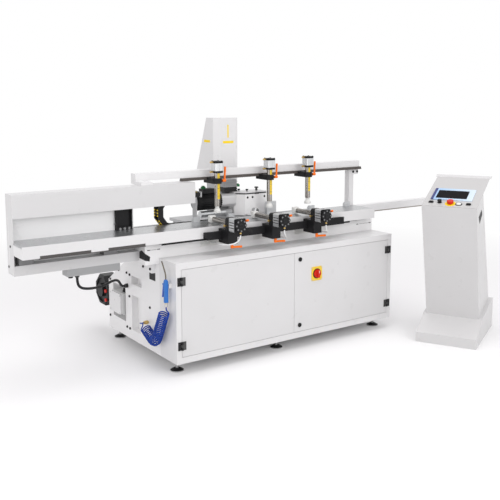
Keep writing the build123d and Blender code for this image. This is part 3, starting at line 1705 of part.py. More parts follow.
# Rear blower: round casing with a hub, two ports and the bracket to the frame
blower_x = cab_left + blower_left
blower_y = cab_front + rear_reach - blower_radius
with BuildPart() as rear_blower:
    with BuildSketch(side_plane(blower_x)):
        with Locations((blower_y, blower_rise)):
            RegularPolygon(blower_radius, 8, major_radius=False, rotation=22.5)
    extrude(amount=blower_width)
    ends = rear_blower.faces().sort_by(Axis.X)
    chamfer(ends[0].edges() + ends[-1].edges(), length=blower_width / 12)
    with BuildSketch(side_plane(blower_x)):
        with Locations((blower_y, blower_rise)):
            Circle(0.8 * blower_radius)
            Circle(blower_hub_radius, mode=Mode.SUBTRACT)
    extrude(amount=blower_recess, mode=Mode.SUBTRACT)
    with BuildSketch(side_plane(blower_x)):
        with Locations((blower_y, blower_rise)):
            Circle(blower_hub_radius)
    extrude(amount=-blower_hub_length / 2)
    with BuildSketch(side_plane(blower_x + blower_recess)):
        for dy, dz in blower_ports:
            with Locations((blower_y + dy, blower_rise + dz)):
                Circle(blower_port_radius)
    extrude(amount=-blower_recess - blower_port_length)
    block(
        (blower_x + blower_width / 4, blower_x + 0.75 * blower_width),
        (frame_back, blower_y),
        (blower_rise - blower_hub_radius, blower_rise + blower_hub_radius),
    )
keep(rear_blower, "rear_blower")

# Console: plinth and leaning column with a sloping desk
front_x = cab_right - console_left_inset
console_x_dir = Vector(*console_facing).normalized()
console_y_dir = Vector(-console_x_dir.Y, console_x_dir.X)
column_inset = (console_width - console_column_width) / 2
desk_run = Vector(console_top[0] - console_desk[0], console_top[1] - console_desk[1])
desk_slope = desk_run.normalized()
desk_rise = Vector(-desk_slope.Y, desk_slope.X) * panel_thickness
desk_reach = console_desk[0] + desk_rise.X
desk_corner = console_x_dir * (console_width - column_inset) + console_y_dir * desk_reach
front_y = cab_front - front_reach - desk_corner.Y
profile_plane = Plane(origin=(front_x, front_y, 0), x_dir=console_y_dir, z_dir=console_x_dir)
plinth_outline = (
    (0, 0),
    (console_depth, 0),
    (console_depth, console_tail),
    console_back,
    console_step,
    (0, console_plinth),
)
desk_front = Vector(*console_desk)
desk_top = Vector(*console_top)
neck = desk_front + desk_slope * console_neck
column_outline = (console_step, console_desk, (neck.X, neck.Y), console_back)
panel_points = (
    desk_front,
    desk_top,
    desk_top + Vector(console_lip, 0),
    desk_top + Vector(console_lip, panel_thickness),
    desk_top + desk_rise,
    desk_front + desk_rise,
)
desk_along = console_y_dir * desk_run.X + Vector(0, 0, desk_run.Y)
desk_origin = (
    Vector(front_x, front_y, console_desk[1])
    + console_x_dir * (console_width / 2)
    + console_y_dir * console_desk[0]
)
desk_normal = console_x_dir.cross(desk_along).normalized()
desk_plane = Plane(origin=desk_origin, x_dir=console_x_dir, z_dir=desk_normal)
with BuildPart() as console_body:
    with BuildSketch(profile_plane):
        Polygon(*plinth_outline, align=None)
    extrude(amount=console_width)
    with BuildSketch(profile_plane.offset(column_inset)):
        Polygon(*column_outline, align=None)
    extrude(amount=console_column_width)
    with BuildSketch(profile_plane.offset(console_wall)):
        Polygon(*plinth_outline, align=None)
        offset(amount=-console_wall, kind=Kind.INTERSECTION, mode=Mode.REPLACE)
    extrude(amount=console_width - 2 * console_wall, mode=Mode.SUBTRACT)
    with BuildSketch(profile_plane.offset(column_inset + console_wall)):
        Polygon(*column_outline, align=None)
        offset(amount=-console_wall, kind=Kind.INTERSECTION, mode=Mode.REPLACE)
    extrude(amount=console_column_width - 2 * console_wall, mode=Mode.SUBTRACT)
    with BuildSketch(desk_plane):
        with Locations((0, button_row)):
            Circle(stop_stem_radius + bore_clearance)
    extrude(amount=-2 * console_wall, mode=Mode.SUBTRACT)
keep(console_body, "console_body")

# Desk plate: lies on the column's slope, stands free above it and ends in a folded lip
with BuildPart() as console_panel:
    with BuildSketch(profile_plane.offset(column_inset)):
        Polygon(*[(p.X, p.Y) for p in panel_points], align=None)
    extrude(amount=console_column_width)
    with BuildSketch(desk_plane):
        with Locations((0, button_row)):
            Circle(stop_stem_radius + bore_clearance)
        with Locations((button_x, button_row)):
            Circle(button_radius + bore_clearance)
    extrude(amount=panel_thickness, mode=Mode.SUBTRACT)
keep(console_panel, "console_panel")

with BuildPart() as emergency_stop:
    with BuildSketch(desk_plane.offset(panel_thickness + stop_travel + control_gap)):
        with Locations((0, button_row)):
            Circle(stop_radius)
    extrude(amount=stop_height, taper=-6)
    with BuildSketch(desk_plane.offset(panel_thickness + stop_travel + control_gap)):
        with Locations((0, button_row)):
            Circle(stop_stem_radius)
    extrude(amount=-(stop_travel + control_depth))
    crown = emergency_stop.faces().sort_by(Axis(desk_origin, desk_normal))[-1].edges()
    fillet(crown, radius=stop_height / 4)
keep(emergency_stop, "emergency_stop")

with BuildPart() as start_button:
    with BuildSketch(desk_plane.offset(panel_thickness + button_height)):
        with Locations((button_x, button_row)):
            Circle(button_radius)
    extrude(amount=-(button_height + control_gap))
keep(start_button, "start_button")
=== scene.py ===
import math

import bmesh
import bpy
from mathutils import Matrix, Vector


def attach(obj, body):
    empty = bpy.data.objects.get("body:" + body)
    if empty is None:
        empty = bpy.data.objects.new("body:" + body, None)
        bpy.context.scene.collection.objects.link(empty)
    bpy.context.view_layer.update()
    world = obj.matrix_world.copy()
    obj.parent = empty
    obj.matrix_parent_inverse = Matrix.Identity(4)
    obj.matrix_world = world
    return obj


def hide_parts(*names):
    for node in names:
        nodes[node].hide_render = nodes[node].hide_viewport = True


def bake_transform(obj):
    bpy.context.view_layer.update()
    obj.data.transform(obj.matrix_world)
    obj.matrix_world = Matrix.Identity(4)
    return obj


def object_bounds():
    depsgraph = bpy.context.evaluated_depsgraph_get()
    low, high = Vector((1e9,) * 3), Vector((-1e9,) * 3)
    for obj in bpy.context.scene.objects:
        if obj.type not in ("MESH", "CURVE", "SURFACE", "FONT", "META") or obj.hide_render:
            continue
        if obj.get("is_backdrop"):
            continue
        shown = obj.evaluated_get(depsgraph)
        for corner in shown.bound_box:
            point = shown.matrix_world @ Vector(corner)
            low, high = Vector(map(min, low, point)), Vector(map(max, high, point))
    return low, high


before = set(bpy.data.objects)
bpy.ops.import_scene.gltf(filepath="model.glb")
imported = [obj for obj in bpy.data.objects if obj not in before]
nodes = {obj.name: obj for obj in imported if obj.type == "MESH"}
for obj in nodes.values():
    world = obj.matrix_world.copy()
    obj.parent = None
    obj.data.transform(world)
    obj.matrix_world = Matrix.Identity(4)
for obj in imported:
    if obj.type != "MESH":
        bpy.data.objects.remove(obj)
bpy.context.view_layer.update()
scene = bpy.context.scene

# Places are given in millimetres through shop(), sizes in metres as in the frame
middle_x = 824
middle_y = 230
vertical_clamps = (465, 872, 1197)
front_clamps = (397, 722, 1056)
hose_sides = (-1, 1, 1)
LEFT = Vector((-1, 0, 0))
RIGHT = Vector((1, 0, 0))
FRONT = Vector((0, -1, 0))
BACK = Vector((0, 1, 0))
UP = Vector((0, 0, 1))
DOWN = Vector((0, 0, -1))


def shop(x, y, z):
    """A place in millimetres from the cabinet's left side, its front and the floor."""
    return Vector((x - middle_x, y - middle_y, z)) / 1000


# Camera
camera = bpy.data.objects.new("camera", bpy.data.cameras.new("camera"))
scene.collection.objects.link(camera)
scene.camera = camera
look_down = 7.91
look_right = 34.86
camera.location = shop(-2029.7, -3660.9, 1595.3)
camera.rotation_euler = (math.radians(90 - look_down), 0, math.radians(-look_right))
camera.data.lens = 53.8
camera.data.sensor_width = 36
camera.data.shift_x = -0.0015
camera.data.shift_y = -0.0909
camera.data.clip_end = 200
scene.view_settings.view_transform = "Standard"


# Shader wrapper
class Value:
    """A number or colour that changes over a surface; arithmetic on it adds Math nodes."""

    def __init__(self, owner, socket):
        self.owner = owner
        self.socket = socket

    def math(self, operation, a, b):
        return self.owner.node("ShaderNodeMath", {"operation": operation}, {0: a, 1: b})

    def __add__(self, other):
        return self.math("ADD", self, other)

    def __radd__(self, other):
        return self.math("ADD", other, self)

    def __sub__(self, other):
        return self.math("SUBTRACT", self, other)

    def __rsub__(self, other):
        return self.math("SUBTRACT", other, self)

    def __mul__(self, other):
        return self.math("MULTIPLY", self, other)

    def __mod__(self, other):
        return self.math("FLOORED_MODULO", self, other)

    def __gt__(self, other):
        return self.math("GREATER_THAN", self, other)

    def __lt__(self, other):
        return self.math("LESS_THAN", self, other)

    def __or__(self, other):
        return self.math("MAXIMUM", self, other)

    def within(self, low, high):
        return (self > low) * (self < high)


class Nodes:
    """The node tree of a material or of the world."""

    def __init__(self, owner):
        owner.use_nodes = True
        self.tree = owner.node_tree
        self.tree.nodes.clear()

    def node(self, kind, settings, inputs, output=0):
        """Adds a node and gives the value of one of its outputs, if it has any."""
        made = self.tree.nodes.new(kind)
        for key, value in settings.items():
            setattr(made, key, value)
        for key, value in inputs.items():
            if isinstance(value, Value):
                self.tree.links.new(value.socket, made.inputs[key])
            elif made.inputs[key].type == "RGBA":
                made.inputs[key].default_value = (*value, 1)
            else:
                made.inputs[key].default_value = value
        return Value(self, made.outputs[output]) if len(made.outputs) else None

    def seen_rays(self):
        """A mask of the rays that show the backdrop: straight, mirrored or through glass."""
        kinds = ("Is Camera Ray", "Is Glossy Ray", "Is Transmission Ray")
        camera_ray, glossy_ray, clear_ray = (self.node("ShaderNodeLightPath", {}, {}, kind) for kind in kinds)
        return camera_ray | glossy_ray | clear_ray


class Paint(Nodes):
    """One material; place is the point on the surface in the frame, in metres."""

    def __init__(self, name):
        self.material = bpy.data.materials.new(name)
        super().__init__(self.material)
        self.place = self.node("ShaderNodeTexCoord", {}, {}, "Object")

    def axis(self, letter):
        return self.node("ShaderNodeSeparateXYZ", {}, {0: self.place}, letter)

    def stretched(self, scale):
        return self.node("ShaderNodeVectorMath", {"operation": "MULTIPLY"}, {0: self.place, 1: scale})

    def noise(self, scale, detail, place=None):
        inputs = {"Vector": place or self.place, "Scale": scale, "Detail": detail}
        return self.node("ShaderNodeTexNoise", {}, inputs)

    def mix(self, factor, a, b):
        # Sockets 6 and 7 and output 2 are the colour ones
        return self.node("ShaderNodeMix", {"data_type": "RGBA"}, {0: factor, 6: a, 7: b}, 2)

    def bump(self, height, strength, distance):
        return self.node("ShaderNodeBump", {}, {"Height": height, "Strength": strength, "Distance": distance})

    def surface(self, colour, rough, metal=0.0, normal=None, coat=0.0, specular=0.5):
        inputs = {
            "Base Color": colour,
            "Roughness": rough,
            "Metallic": metal,
            "Coat Weight": coat,
            "Specular IOR Level": specular,
        }
        if normal:
            inputs["Normal"] = normal
        shader = self.node("ShaderNodeBsdfPrincipled", {}, inputs)
        self.node("ShaderNodeOutputMaterial", {}, {"Surface": shader})
        return self.material


# Finishes
WHITE = (0.76, 0.757, 0.76)
BLACK = (0.012, 0.012, 0.013)
YELLOW = (0.9, 0.62, 0.01)
ORANGE = (0.9, 0.17, 0.012)
RED = (0.58, 0.02, 0.012)
STEEL = (0.47, 0.475, 0.485)
ALLOY = (0.62, 0.63, 0.64)
BRASS = (0.62, 0.43, 0.16)
CHROME = (0.74, 0.745, 0.755)
TUBE = (0.34, 0.32, 0.3)
GREY = (0.36, 0.365, 0.37)
PAD = (0.72, 0.72, 0.7)
HAZE = (0.30, 0.29, 0.275)
SMEAR = (0.2, 0.19, 0.17)
plastic_specular = 0.2
satin_specular = 0.18
enamel_coat = 0.25
grain_depth = 0.0003


def layered(name, base, zones=(), texture="enamel"):
    """A finish with other finishes in zones; base and each zone's finish are (colour, roughness, metal).

    A zone is (test, finish). Its test takes the place's x, y and z in metres and gives a mask."""
    paint = Paint(name)
    place = [paint.axis(letter) for letter in "XYZ"]
    colour, rough, metal = base
    for test, (zone_colour, zone_rough, zone_metal) in zones:
        mask = test(*place)
        colour = paint.mix(mask, colour, zone_colour)
        rough = mask * (zone_rough - rough) + rough
        metal = mask * (zone_metal - metal) + metal
    painted = texture == "enamel"
    if painted:
        colour = paint.mix(paint.noise(2.6, 4.0) * 0.16, colour, HAZE)
    handled = paint.noise(14.0, 5.0)
    colour = paint.mix((handled > 0.66) * 0.05, colour, SMEAR)
    rough = rough + (handled - 0.5) * 0.14
    if texture == "brushed":
        streak = paint.noise(3.0, 6.0, paint.stretched((6.0, 260.0, 260.0)))
        rough = rough + (streak - 0.5) * 0.22
        normal = paint.bump(streak, 0.12, 0.0004)
    else:
        grain = paint.noise(420.0 if painted else 900.0, 2.0)
        normal = paint.bump(grain, 0.06 if painted else 0.1, grain_depth)
    if painted:
        return paint.surface(colour, rough, metal, normal, coat=enamel_coat)
    return paint.surface(colour, rough, metal, normal, specular=satin_specular)


def moulded(name, colour, rough, grain=700.0):
    """Moulded plastic or rubber with a fine grain."""
    paint = Paint(name)
    cloud = paint.noise(18.0, 4.0)
    worn = tuple(min(1.0, c * 1.25 + 0.012) for c in colour)
    shade = paint.mix(cloud * 0.5, colour, worn)
    normal = paint.bump(paint.noise(grain, 2.0), 0.14, grain_depth)
    return paint.surface(shade, rough + (cloud - 0.5) * 0.16, normal=normal, specular=plastic_specular)


def metal_finish(name, colour, rough, streaks=(1.0, 1.0, 1.0)):
    """Bare or plated metal with fine tool marks."""
    paint = Paint(name)
    marks = paint.noise(120.0, 5.0, paint.stretched(streaks))
    smudge = paint.noise(22.0, 3.0)
    shade = paint.mix(smudge * 0.25, colour, tuple(c * 0.7 for c in colour))
    gloss = rough + (marks - 0.5) * 0.18 + (smudge - 0.5) * 0.1
    return paint.surface(shade, gloss, 1.0, paint.bump(marks, 0.08, grain_depth))


def scale_tape():
    """Yellow measuring tape with a black mark every 5 mm and a stronger one every 50 mm of its height."""
    paint = Paint("scale_tape")
    z = paint.axis("Z")
    small = (z % 0.005 < 0.0009) * 0.75
    large = z % 0.05 < 0.0022
    return paint.surface(paint.mix(small | large, YELLOW, BLACK), 0.4)


def off_axis(a, b, place_a, place_b):
    """Square of the distance from a place, in the plane of two axes."""
    return (a - place_a) * (a - place_a) + (b - place_b) * (b - place_b)


white_enamel = layered("white_enamel", (WHITE, 0.3, 0.0))
satin_black = layered("satin_black", (BLACK, 0.5, 0.0), texture="satin")
# The console's white is darker than WHITE: painted shade, a shaded copy of the enamel
console_painted_shade_finish = layered("console_enamel_painted_shade", ((0.66, 0.655, 0.657), 0.38, 0.0))
desk_finish = layered("desk_enamel", ((0.55, 0.543, 0.541), 0.38, 0.0))
black_moulding = moulded("black_moulding", BLACK, 0.46)
orange_moulding = moulded("orange_moulding", ORANGE, 0.4)
red_moulding = moulded("red_moulding", RED, 0.3)
white_moulding = moulded("white_moulding", (0.74, 0.74, 0.72), 0.45)
grey_moulding = moulded("grey_moulding", GREY, 0.5)
yellow_moulding = moulded("yellow_moulding", YELLOW, 0.4)
green_moulding = moulded("green_moulding", (0.008, 0.13, 0.035), 0.4)
coil_blue = moulded("coil_blue", (0.008, 0.045, 0.31), 0.2)
trigger_blue = moulded("trigger_blue", (0.012, 0.08, 0.48), 0.33)
hose_white = moulded("hose_white", (0.74, 0.75, 0.75), 0.25)
# Dark rubber standing in for the shade behind the skirt's notches: painted shade
notch_shade_rubber = moulded("notch_shade_rubber", (0.085, 0.08, 0.077), 0.55)
cable_black = moulded("cable_black", (0.015, 0.015, 0.016), 0.5, 1600.0)
bolt_black = metal_finish("bolt_black", (0.03, 0.03, 0.032), 0.4)
bright_zinc = metal_finish("bright_zinc", (0.6, 0.6, 0.6), 0.32)
dull_zinc = metal_finish("dull_zinc", (0.25, 0.25, 0.255), 0.45)
bare_brass = metal_finish("bare_brass", BRASS, 0.3)
tool_steel = metal_finish("tool_steel", (0.5, 0.505, 0.51), 0.24, (1.0, 8.0, 1.0))
tape_yellow = scale_tape()
rail_finish = layered(
    "rail_black",
    (BLACK, 0.5, 0.0),
    # The overhead rail
    [(lambda x, y, z: z > 1.0, ((0.085, 0.075, 0.07), 0.42, 0.3))],
    "satin",
)
skirt_finish = layered(
    "skirt_enamel",
    (WHITE, 0.36, 0.0),
    # Struts below the skirt's left end, painted dark grey as painted shade
    [(lambda x, y, z: (z < 0.7749) * (x < -0.92), ((0.2, 0.2, 0.205), 0.45, 0.0))],
)
# The guard's white is darker than WHITE: painted shade, a shaded copy of the enamel
guard_painted_shade_and_light_finish = layered(
    "guard_enamel_painted_shade_and_light",
    ((0.66, 0.657, 0.66), 0.36, 0.0),
    # Back of the recess, painted lighter than the rest: painted light
    [(lambda x, y, z: y.within(0.1149, 0.1185) * z.within(0.7151, 0.9705), ((0.9, 0.9, 0.9), 0.4, 0.0))],
)
shell_finish = layered(
    "shell_enamel",
    (WHITE, 0.34, 0.0),
    # Top of the cabinet, painted lighter than its sides: painted light
    [(lambda x, y, z: z > 0.6795, ((0.9, 0.896, 0.898), 0.3, 0.0))],
)
ground_steel = layered(
    "ground_steel",
    (STEEL, 0.3, 0.9),
    [
        # Extension rail, a grey-brown band along its lower edge that is painted shade and a painted
        # reflection, and the fence blocks
        (lambda x, y, z: x > 0.8485, ((0.8, 0.8, 0.8), 0.4, 0.0)),
        (lambda x, y, z: (x > 0.912) * (z < 0.7925), ((0.3, 0.27, 0.24), 0.5, 0.0)),
        (lambda x, y, z: (z > 0.8436) * (x < 0.8485), (ALLOY, 0.42, 0.75)),
    ],
    "brushed",
)
# The doors' white is darker than WHITE: painted shade, a shaded copy of the cabinet's enamel
door_painted_shade_finish = layered(
    "door_enamel_painted_shade",
    ((0.71, 0.707, 0.71), 0.36, 0.0),
    [
        # Hinge leaves on the doors, and the main switch's plate
        (lambda x, y, z: y < -0.2302, (BLACK, 0.42, 0.0)),
        (lambda x, y, z: (y < -0.2302) * x.within(0.17, 0.27), (YELLOW, 0.38, 0.0)),
    ],
)
# The end frame's white is lighter than WHITE: painted light, a lit copy of the enamel
frame_painted_light_finish = layered(
    "frame_enamel_painted_light",
    ((0.87, 0.866, 0.868), 0.38, 0.0),
    [
        # Cable gland and air inlet on the left end plate
        (lambda x, y, z: (x < -0.8243) * (y > 0.3), (BLACK, 0.45, 0.0)),
        (lambda x, y, z: (x < -0.8205) * (off_axis(y, z, 0.136, 0.243) < 0.00026), (BRASS, 0.3, 1.0)),
    ],
)
# The bed's white is lighter than WHITE: painted light, a lit copy of the enamel
bed_painted_light_finish = layered(
    "bed_enamel_painted_light",
    ((0.93, 0.926, 0.928), 0.24, 0.0),
    # Traverse rails
    [(lambda x, y, z: z > 0.7553, (STEEL, 0.22, 1.0))],
)
gear_finish = layered(
    "gear_grey",
    (GREY, 0.48, 0.0),
    [
        # Junction box, panel inside the cabinet, and glands under the cable tray
        (lambda x, y, z: y > 0.3, ((0.66, 0.665, 0.66), 0.42, 0.0)),
        (lambda x, y, z: y.within(-0.13, -0.0367), ((0.09, 0.092, 0.095), 0.5, 0.0)),
        (lambda x, y, z: z.within(0.585, 0.6157), (BLACK, 0.45, 0.0)),
    ],
)
foot_finish = layered(
    "foot_zinc",
    ((0.42, 0.42, 0.42), 0.34, 0.9),
    # Black pads above their rims
    [(lambda x, y, z: z.within(0.0061, 0.0181), (BLACK, 0.5, 0.0))],
    "satin",
)
gun_finish = layered(
    "gun_shell",
    ((0.04, 0.17, 0.52), 0.33, 0.0),
    [
        # Coupling, nozzle tube and hook
        (lambda x, y, z: z < 0.4399, ((0.55, 0.5, 0.4), 0.3, 1.0)),
        (lambda x, y, z: z > 0.5751, ((0.15, 0.13, 0.105), 0.35, 0.5)),
        (lambda x, y, z: x > -0.8419, (WHITE, 0.4, 0.0)),
    ],
    "satin",
)
column_finish = layered(
    "clamp_column",
    (TUBE, 0.2, 1.0),
    [
        # End plates and body of the air cylinder
        (lambda x, y, z: z > 1.148, (BLACK, 0.42, 0.0)),
        (lambda x, y, z: z.within(1.161, 1.209), (ALLOY, 0.38, 0.85)),
    ],
    "satin",
)
cylinder_finish = layered(
    "clamp_cylinder",
    (TUBE, 0.2, 1.0),
    [
        # Caps and body of the air cylinder, and the elbow of its hose
        (lambda x, y, z: y < -0.2213, (BLACK, 0.42, 0.0)),
        (lambda x, y, z: y.within(-0.2953, -0.2393), (ALLOY, 0.4, 0.85)),
        (lambda x, y, z: z < 0.8269, (BRASS, 0.32, 0.9)),
    ],
    "satin",
)
# The pressure feet have chromed rods
foot_white = layered(
    "pressure_foot", (PAD, 0.5, 0.0), [(lambda x, y, z: z > 0.9376, (CHROME, 0.2, 1.0))], "satin"
)
pad_white = layered(
    "pressure_pad", (PAD, 0.5, 0.0), [(lambda x, y, z: y < -0.0076, (CHROME, 0.2, 1.0))], "satin"
)
head_finish = layered(
    "head_casting",
    ((0.42, 0.425, 0.43), 0.45, 0.1),
    [
        # Lift drive in two tones, feed drive, and feed rails
        (lambda x, y, z: z > 0.9939, ((0.03, 0.03, 0.031), 0.45, 0.0)),
        (lambda x, y, z: z > 1.026, ((0.33, 0.33, 0.335), 0.4, 0.4)),
        (lambda x, y, z: x < -0.19, (ALLOY, 0.36, 0.8)),
        (lambda x, y, z: z.within(0.8343, 0.8445) * (x > -0.1), (STEEL, 0.2, 1.0)),
    ],
    "satin",
)
carriage_finish = layered(
    "carriage_casting",
    ((0.5, 0.505, 0.51), 0.42, 0.05),
    # Lift rails
    [(lambda x, y, z: (y < 0.3699) * (z > 0.806) * (x > -0.3), (STEEL, 0.2, 1.0))],
    "satin",
)
# The housing's white is lighter than WHITE: painted light, a lit copy of the enamel
housing_painted_light_finish = layered(
    "spindle_housing",
    ((0.88, 0.877, 0.878), 0.34, 0.0),
    [
        # Knob on the lid, and the adaptor to the motor
        (lambda x, y, z: z > 0.9939, (BLACK, 0.4, 0.0)),
        (lambda x, y, z: x < -0.1241, ((0.62, 0.62, 0.63), 0.36, 0.6)),
    ],
)
blower_finish = layered(
    "blower_casing",
    ((0.02, 0.02, 0.021), 0.42, 0.0),
    # The two ports outside the hub
    [(lambda x, y, z: (x < -0.8325) * (off_axis(y, z, 0.806, 0.308) > 0.0026), (RED, 0.35, 0.0))],
    "satin",
)

finishes = {
    "cabinet_shell": shell_finish,
    "table_skirt": skirt_finish,
    "guard_housing": guard_painted_shade_and_light_finish,
    "clamp_beam": white_enamel,
    "column_cover": white_enamel,
    "console_body": console_painted_shade_finish,
    "console_panel": desk_finish,
    "left_door": door_painted_shade_finish,
    "right_door": door_painted_shade_finish,
    "door_hinges": black_moulding,
    "upper_lock": black_moulding,
    "lower_lock": black_moulding,
    "switch_handle": red_moulding,
    "machine_bed": bed_painted_light_finish,
    "end_frame": frame_painted_light_finish,
    "levelling_feet": foot_finish,
    "work_table": ground_steel,
    "clamp_rails": rail_finish,
    "guard_upright": satin_black,
    "electrical_gear": gear_finish,
    "blow_gun": gun_finish,
    "gun_trigger": trigger_blue,
    "rear_blower": blower_finish,
    "emergency_stop": red_moulding,
    "start_button": white_moulding,
    "head_carriage": carriage_finish,
    "head_slide": head_finish,
    "spindle_housing": housing_painted_light_finish,
    "spindle_motor": satin_black,
    "spindle_chuck": tool_steel,
}
for number, clamp_x in enumerate(front_clamps, 1):
    # Each front bracket carries a small orange lever beyond its right side
    edge = shop(clamp_x + 32.2, 0, 0).x
    finishes[f"front_bracket_{number}"] = layered(
        f"front_bracket_{number}",
        (BLACK, 0.4, 0.0),
        [(lambda x, y, z, edge=edge: x > edge, (ORANGE, 0.4, 0.0))],
        "satin",
    )
    finishes[f"front_cylinder_{number}"] = cylinder_finish
    finishes[f"front_foot_{number}"] = pad_white
    finishes[f"rail_lever_{number}"] = orange_moulding
    finishes[f"vertical_bracket_{number}"] = satin_black
    finishes[f"clamp_column_{number}"] = column_finish
    finishes[f"vertical_foot_{number}"] = foot_white
    finishes[f"column_lever_{number}"] = orange_moulding
for name, finish in finishes.items():
    nodes[name].data.materials.clear()
    nodes[name].data.materials.append(finish)


# Making pieces
sharp_angle = math.radians(35)


def piece(name, body, bm, finish, bevel=0.0):
    """Turns a bmesh into a piece that rides on a body; finish is a material or a tuple of them."""
    bmesh.ops.recalc_face_normals(bm, faces=bm.faces)
    mesh = bpy.data.meshes.new(name)
    bm.to_mesh(mesh)
    bm.free()
    for polygon in mesh.polygons:
        polygon.use_smooth = True
    mesh.set_sharp_from_angle(angle=sharp_angle)
    made = bpy.data.objects.new(name, mesh)
    scene.collection.objects.link(made)
    for material in finish if isinstance(finish, tuple) else (finish,):
        mesh.materials.append(material)
    if bevel:
        rounding = made.modifiers.new("edge", "BEVEL")
        rounding.width = bevel
        rounding.segments = 2
        rounding.limit_method = "ANGLE"
    if body:
        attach(made, body)
    return made


def slab(bm, low, high):
    """A block between two corners."""
    spans = list(zip(low, high))
    corners = [bm.verts.new((x, y, z)) for x in spans[0] for y in spans[1] for z in spans[2]]
    for quad in ((0, 1, 3, 2), (4, 6, 7, 5), (0, 4, 5, 1), (2, 3, 7, 6), (0, 2, 6, 4), (1, 5, 7, 3)):
        bm.faces.new([corners[k] for k in quad])


def turned(bm, start, along, profile, segments):
    """A turned shape: profile holds (distance along the axis, radius)."""
    along = along.normalized()
    side = along.orthogonal().normalized()
    other = along.cross(side)
    angles = [math.tau * k / segments for k in range(segments)]
    spokes = [side * math.cos(angle) + other * math.sin(angle) for angle in angles]
    rings = []
    for distance, radius in profile:
        centre = start + along * distance
        rings.append([bm.verts.new(centre + spoke * radius) for spoke in spokes])
    for a, b in zip(rings, rings[1:]):
        for k in range(segments):
            n = (k + 1) % segments
            bm.faces.new((a[k], a[n], b[n], b[k]))
    bm.faces.new(rings[0])
    bm.faces.new(rings[-1])


def prism(bm, outline, depth, index=0):
    """A closed outline of points, pushed along depth; index is the place of its material."""
    low = [bm.verts.new(p) for p in outline]
    high = [bm.verts.new(p + depth) for p in outline]
    faces = [low, high]
    for k in range(len(outline)):
        n = (k + 1) % len(outline)
        faces.append((low[k], low[n], high[n], high[k]))
    for face in faces:
        bm.faces.new(face).material_index = index


def plate(bm, centre, u, v, size, radius, depth):
    """A rectangle with round corners, spanned by directions u and v and pushed along depth."""
    width, height = size
    steps = 5
    points = []
    for quarter, (a, b) in enumerate(((1, 1), (-1, 1), (-1, -1), (1, -1))):
        corner = centre + u * (a * (width / 2 - radius)) + v * (b * (height / 2 - radius))
        for k in range(steps + 1):
            angle = math.pi / 2 * (quarter + k / steps)
            points.append(corner + (u * math.cos(angle) + v * math.sin(angle)) * radius)
    prism(bm, points, depth)


def socket_bolt(bm, seat, out, radius, height):
    """A cap screw with a socket, standing on its seat."""
    profile = [
        (0, radius),
        (height * 0.8, radius),
        (height, radius * 0.86),
        (height, radius * 0.52),
        (height * 0.45, radius * 0.48),
    ]
    turned(bm, seat, out, profile, 16)


def hex_bolt(bm, seat, out, radius, height):
    """A hexagon bolt on a washer."""
    washer = height * 0.22
    turned(bm, seat, out, [(0, radius * 1.35), (washer, radius * 1.35)], 20)
    hexagon = [(0, radius), (height * 0.6, radius), (height * 0.78, radius * 0.82)]
    turned(bm, seat + out * washer, out, hexagon, 6)


def bolted(name, body, seats, out, radius, height, finish=bolt_black, bolt=socket_bolt):
    """A group of like bolts as one piece."""
    bm = bmesh.new()
    for seat in seats:
        bolt(bm, seat, out, radius, height)
    piece(name, body, bm, finish)


def turned_piece(name, body, finish, slot, *shapes):
    """One piece of turned shapes, each (start, along, profile, segments)."""
    bm = bmesh.new()
    for shape in shapes:
        turned(bm, *shape)
    piece(name, body, bm, finish)


def smooth_curve(name, points, resolution):
    """One smooth spline through a route's control points."""
    curve = bpy.data.curves.new(name, "CURVE")
    curve.dimensions = "3D"
    curve.resolution_u = resolution
    spline = curve.splines.new("NURBS")
    spline.points.add(len(points) - 1)
    for point, place in zip(spline.points, points):
        point.co = (*place, 1)
    spline.order_u = 3
    spline.use_endpoint_u = True
    return curve


def cord(name, body, points, diameter, finish, node):
    """A free cord along a route, in place of a node."""
    curve = smooth_curve(name, points, 5)
    curve.bevel_depth = diameter / 2
    curve.bevel_resolution = 3
    curve.use_fill_caps = True
    made = bpy.data.objects.new(name, curve)
    scene.collection.objects.link(made)
    curve.materials.append(finish)
    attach(made, body)
    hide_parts(node)
    return made


def points_along(points, resolution):
    """Points on the smooth spline of a route, as Blender draws it."""
    made = bpy.data.objects.new("route", smooth_curve("route", points, resolution))
    line = bpy.data.meshes.new_from_object(made)
    places = [v.co.copy() for v in line.vertices]
    bpy.data.objects.remove(made)
    return places


# Cords
cable_route = (
    (-457, 335, 596),
    (-457, 335, 560),
    (-434, 353, 527),
    (-384, 388, 505),
    (-308, 439, 488),
    (-222, 497, 479),
    (-150, 548, 487),
    (-95, 592, 478),
    (-66, 622, 456),
    (-48, 638, 432),
    (-36, 641, 418),
    (-18, 641, 418),
)
cable_points = [shop(*p) for p in cable_route]
tray_cable = cord("tray_cable_lead", "base", cable_points, 0.016, cable_black, "tray_cable")

elbow_y = -72.8
elbow_z = 811
hose_steps = (
    (0, 0, 0),
    (0, 0, -26),
    (27, 16, -50),
    (55, 52, -61),
    (66, 102, -66),
    (60, 152, -68),
    (46, 200, -72),
    (37, 250, -79),
    (35, 310, -83),
    (35.5, 370, -83.5),
)
for number, (x, side) in enumerate(zip(front_clamps, hose_sides), 1):
    points = [shop(x + side * dx, elbow_y + dy, elbow_z + dz) for dx, dy, dz in hose_steps]
    cylinder = f"front_cylinder_{number}"
    hose = cord(f"air_line_{number}", cylinder, points, 0.008, hose_white, f"air_hose_{number}")

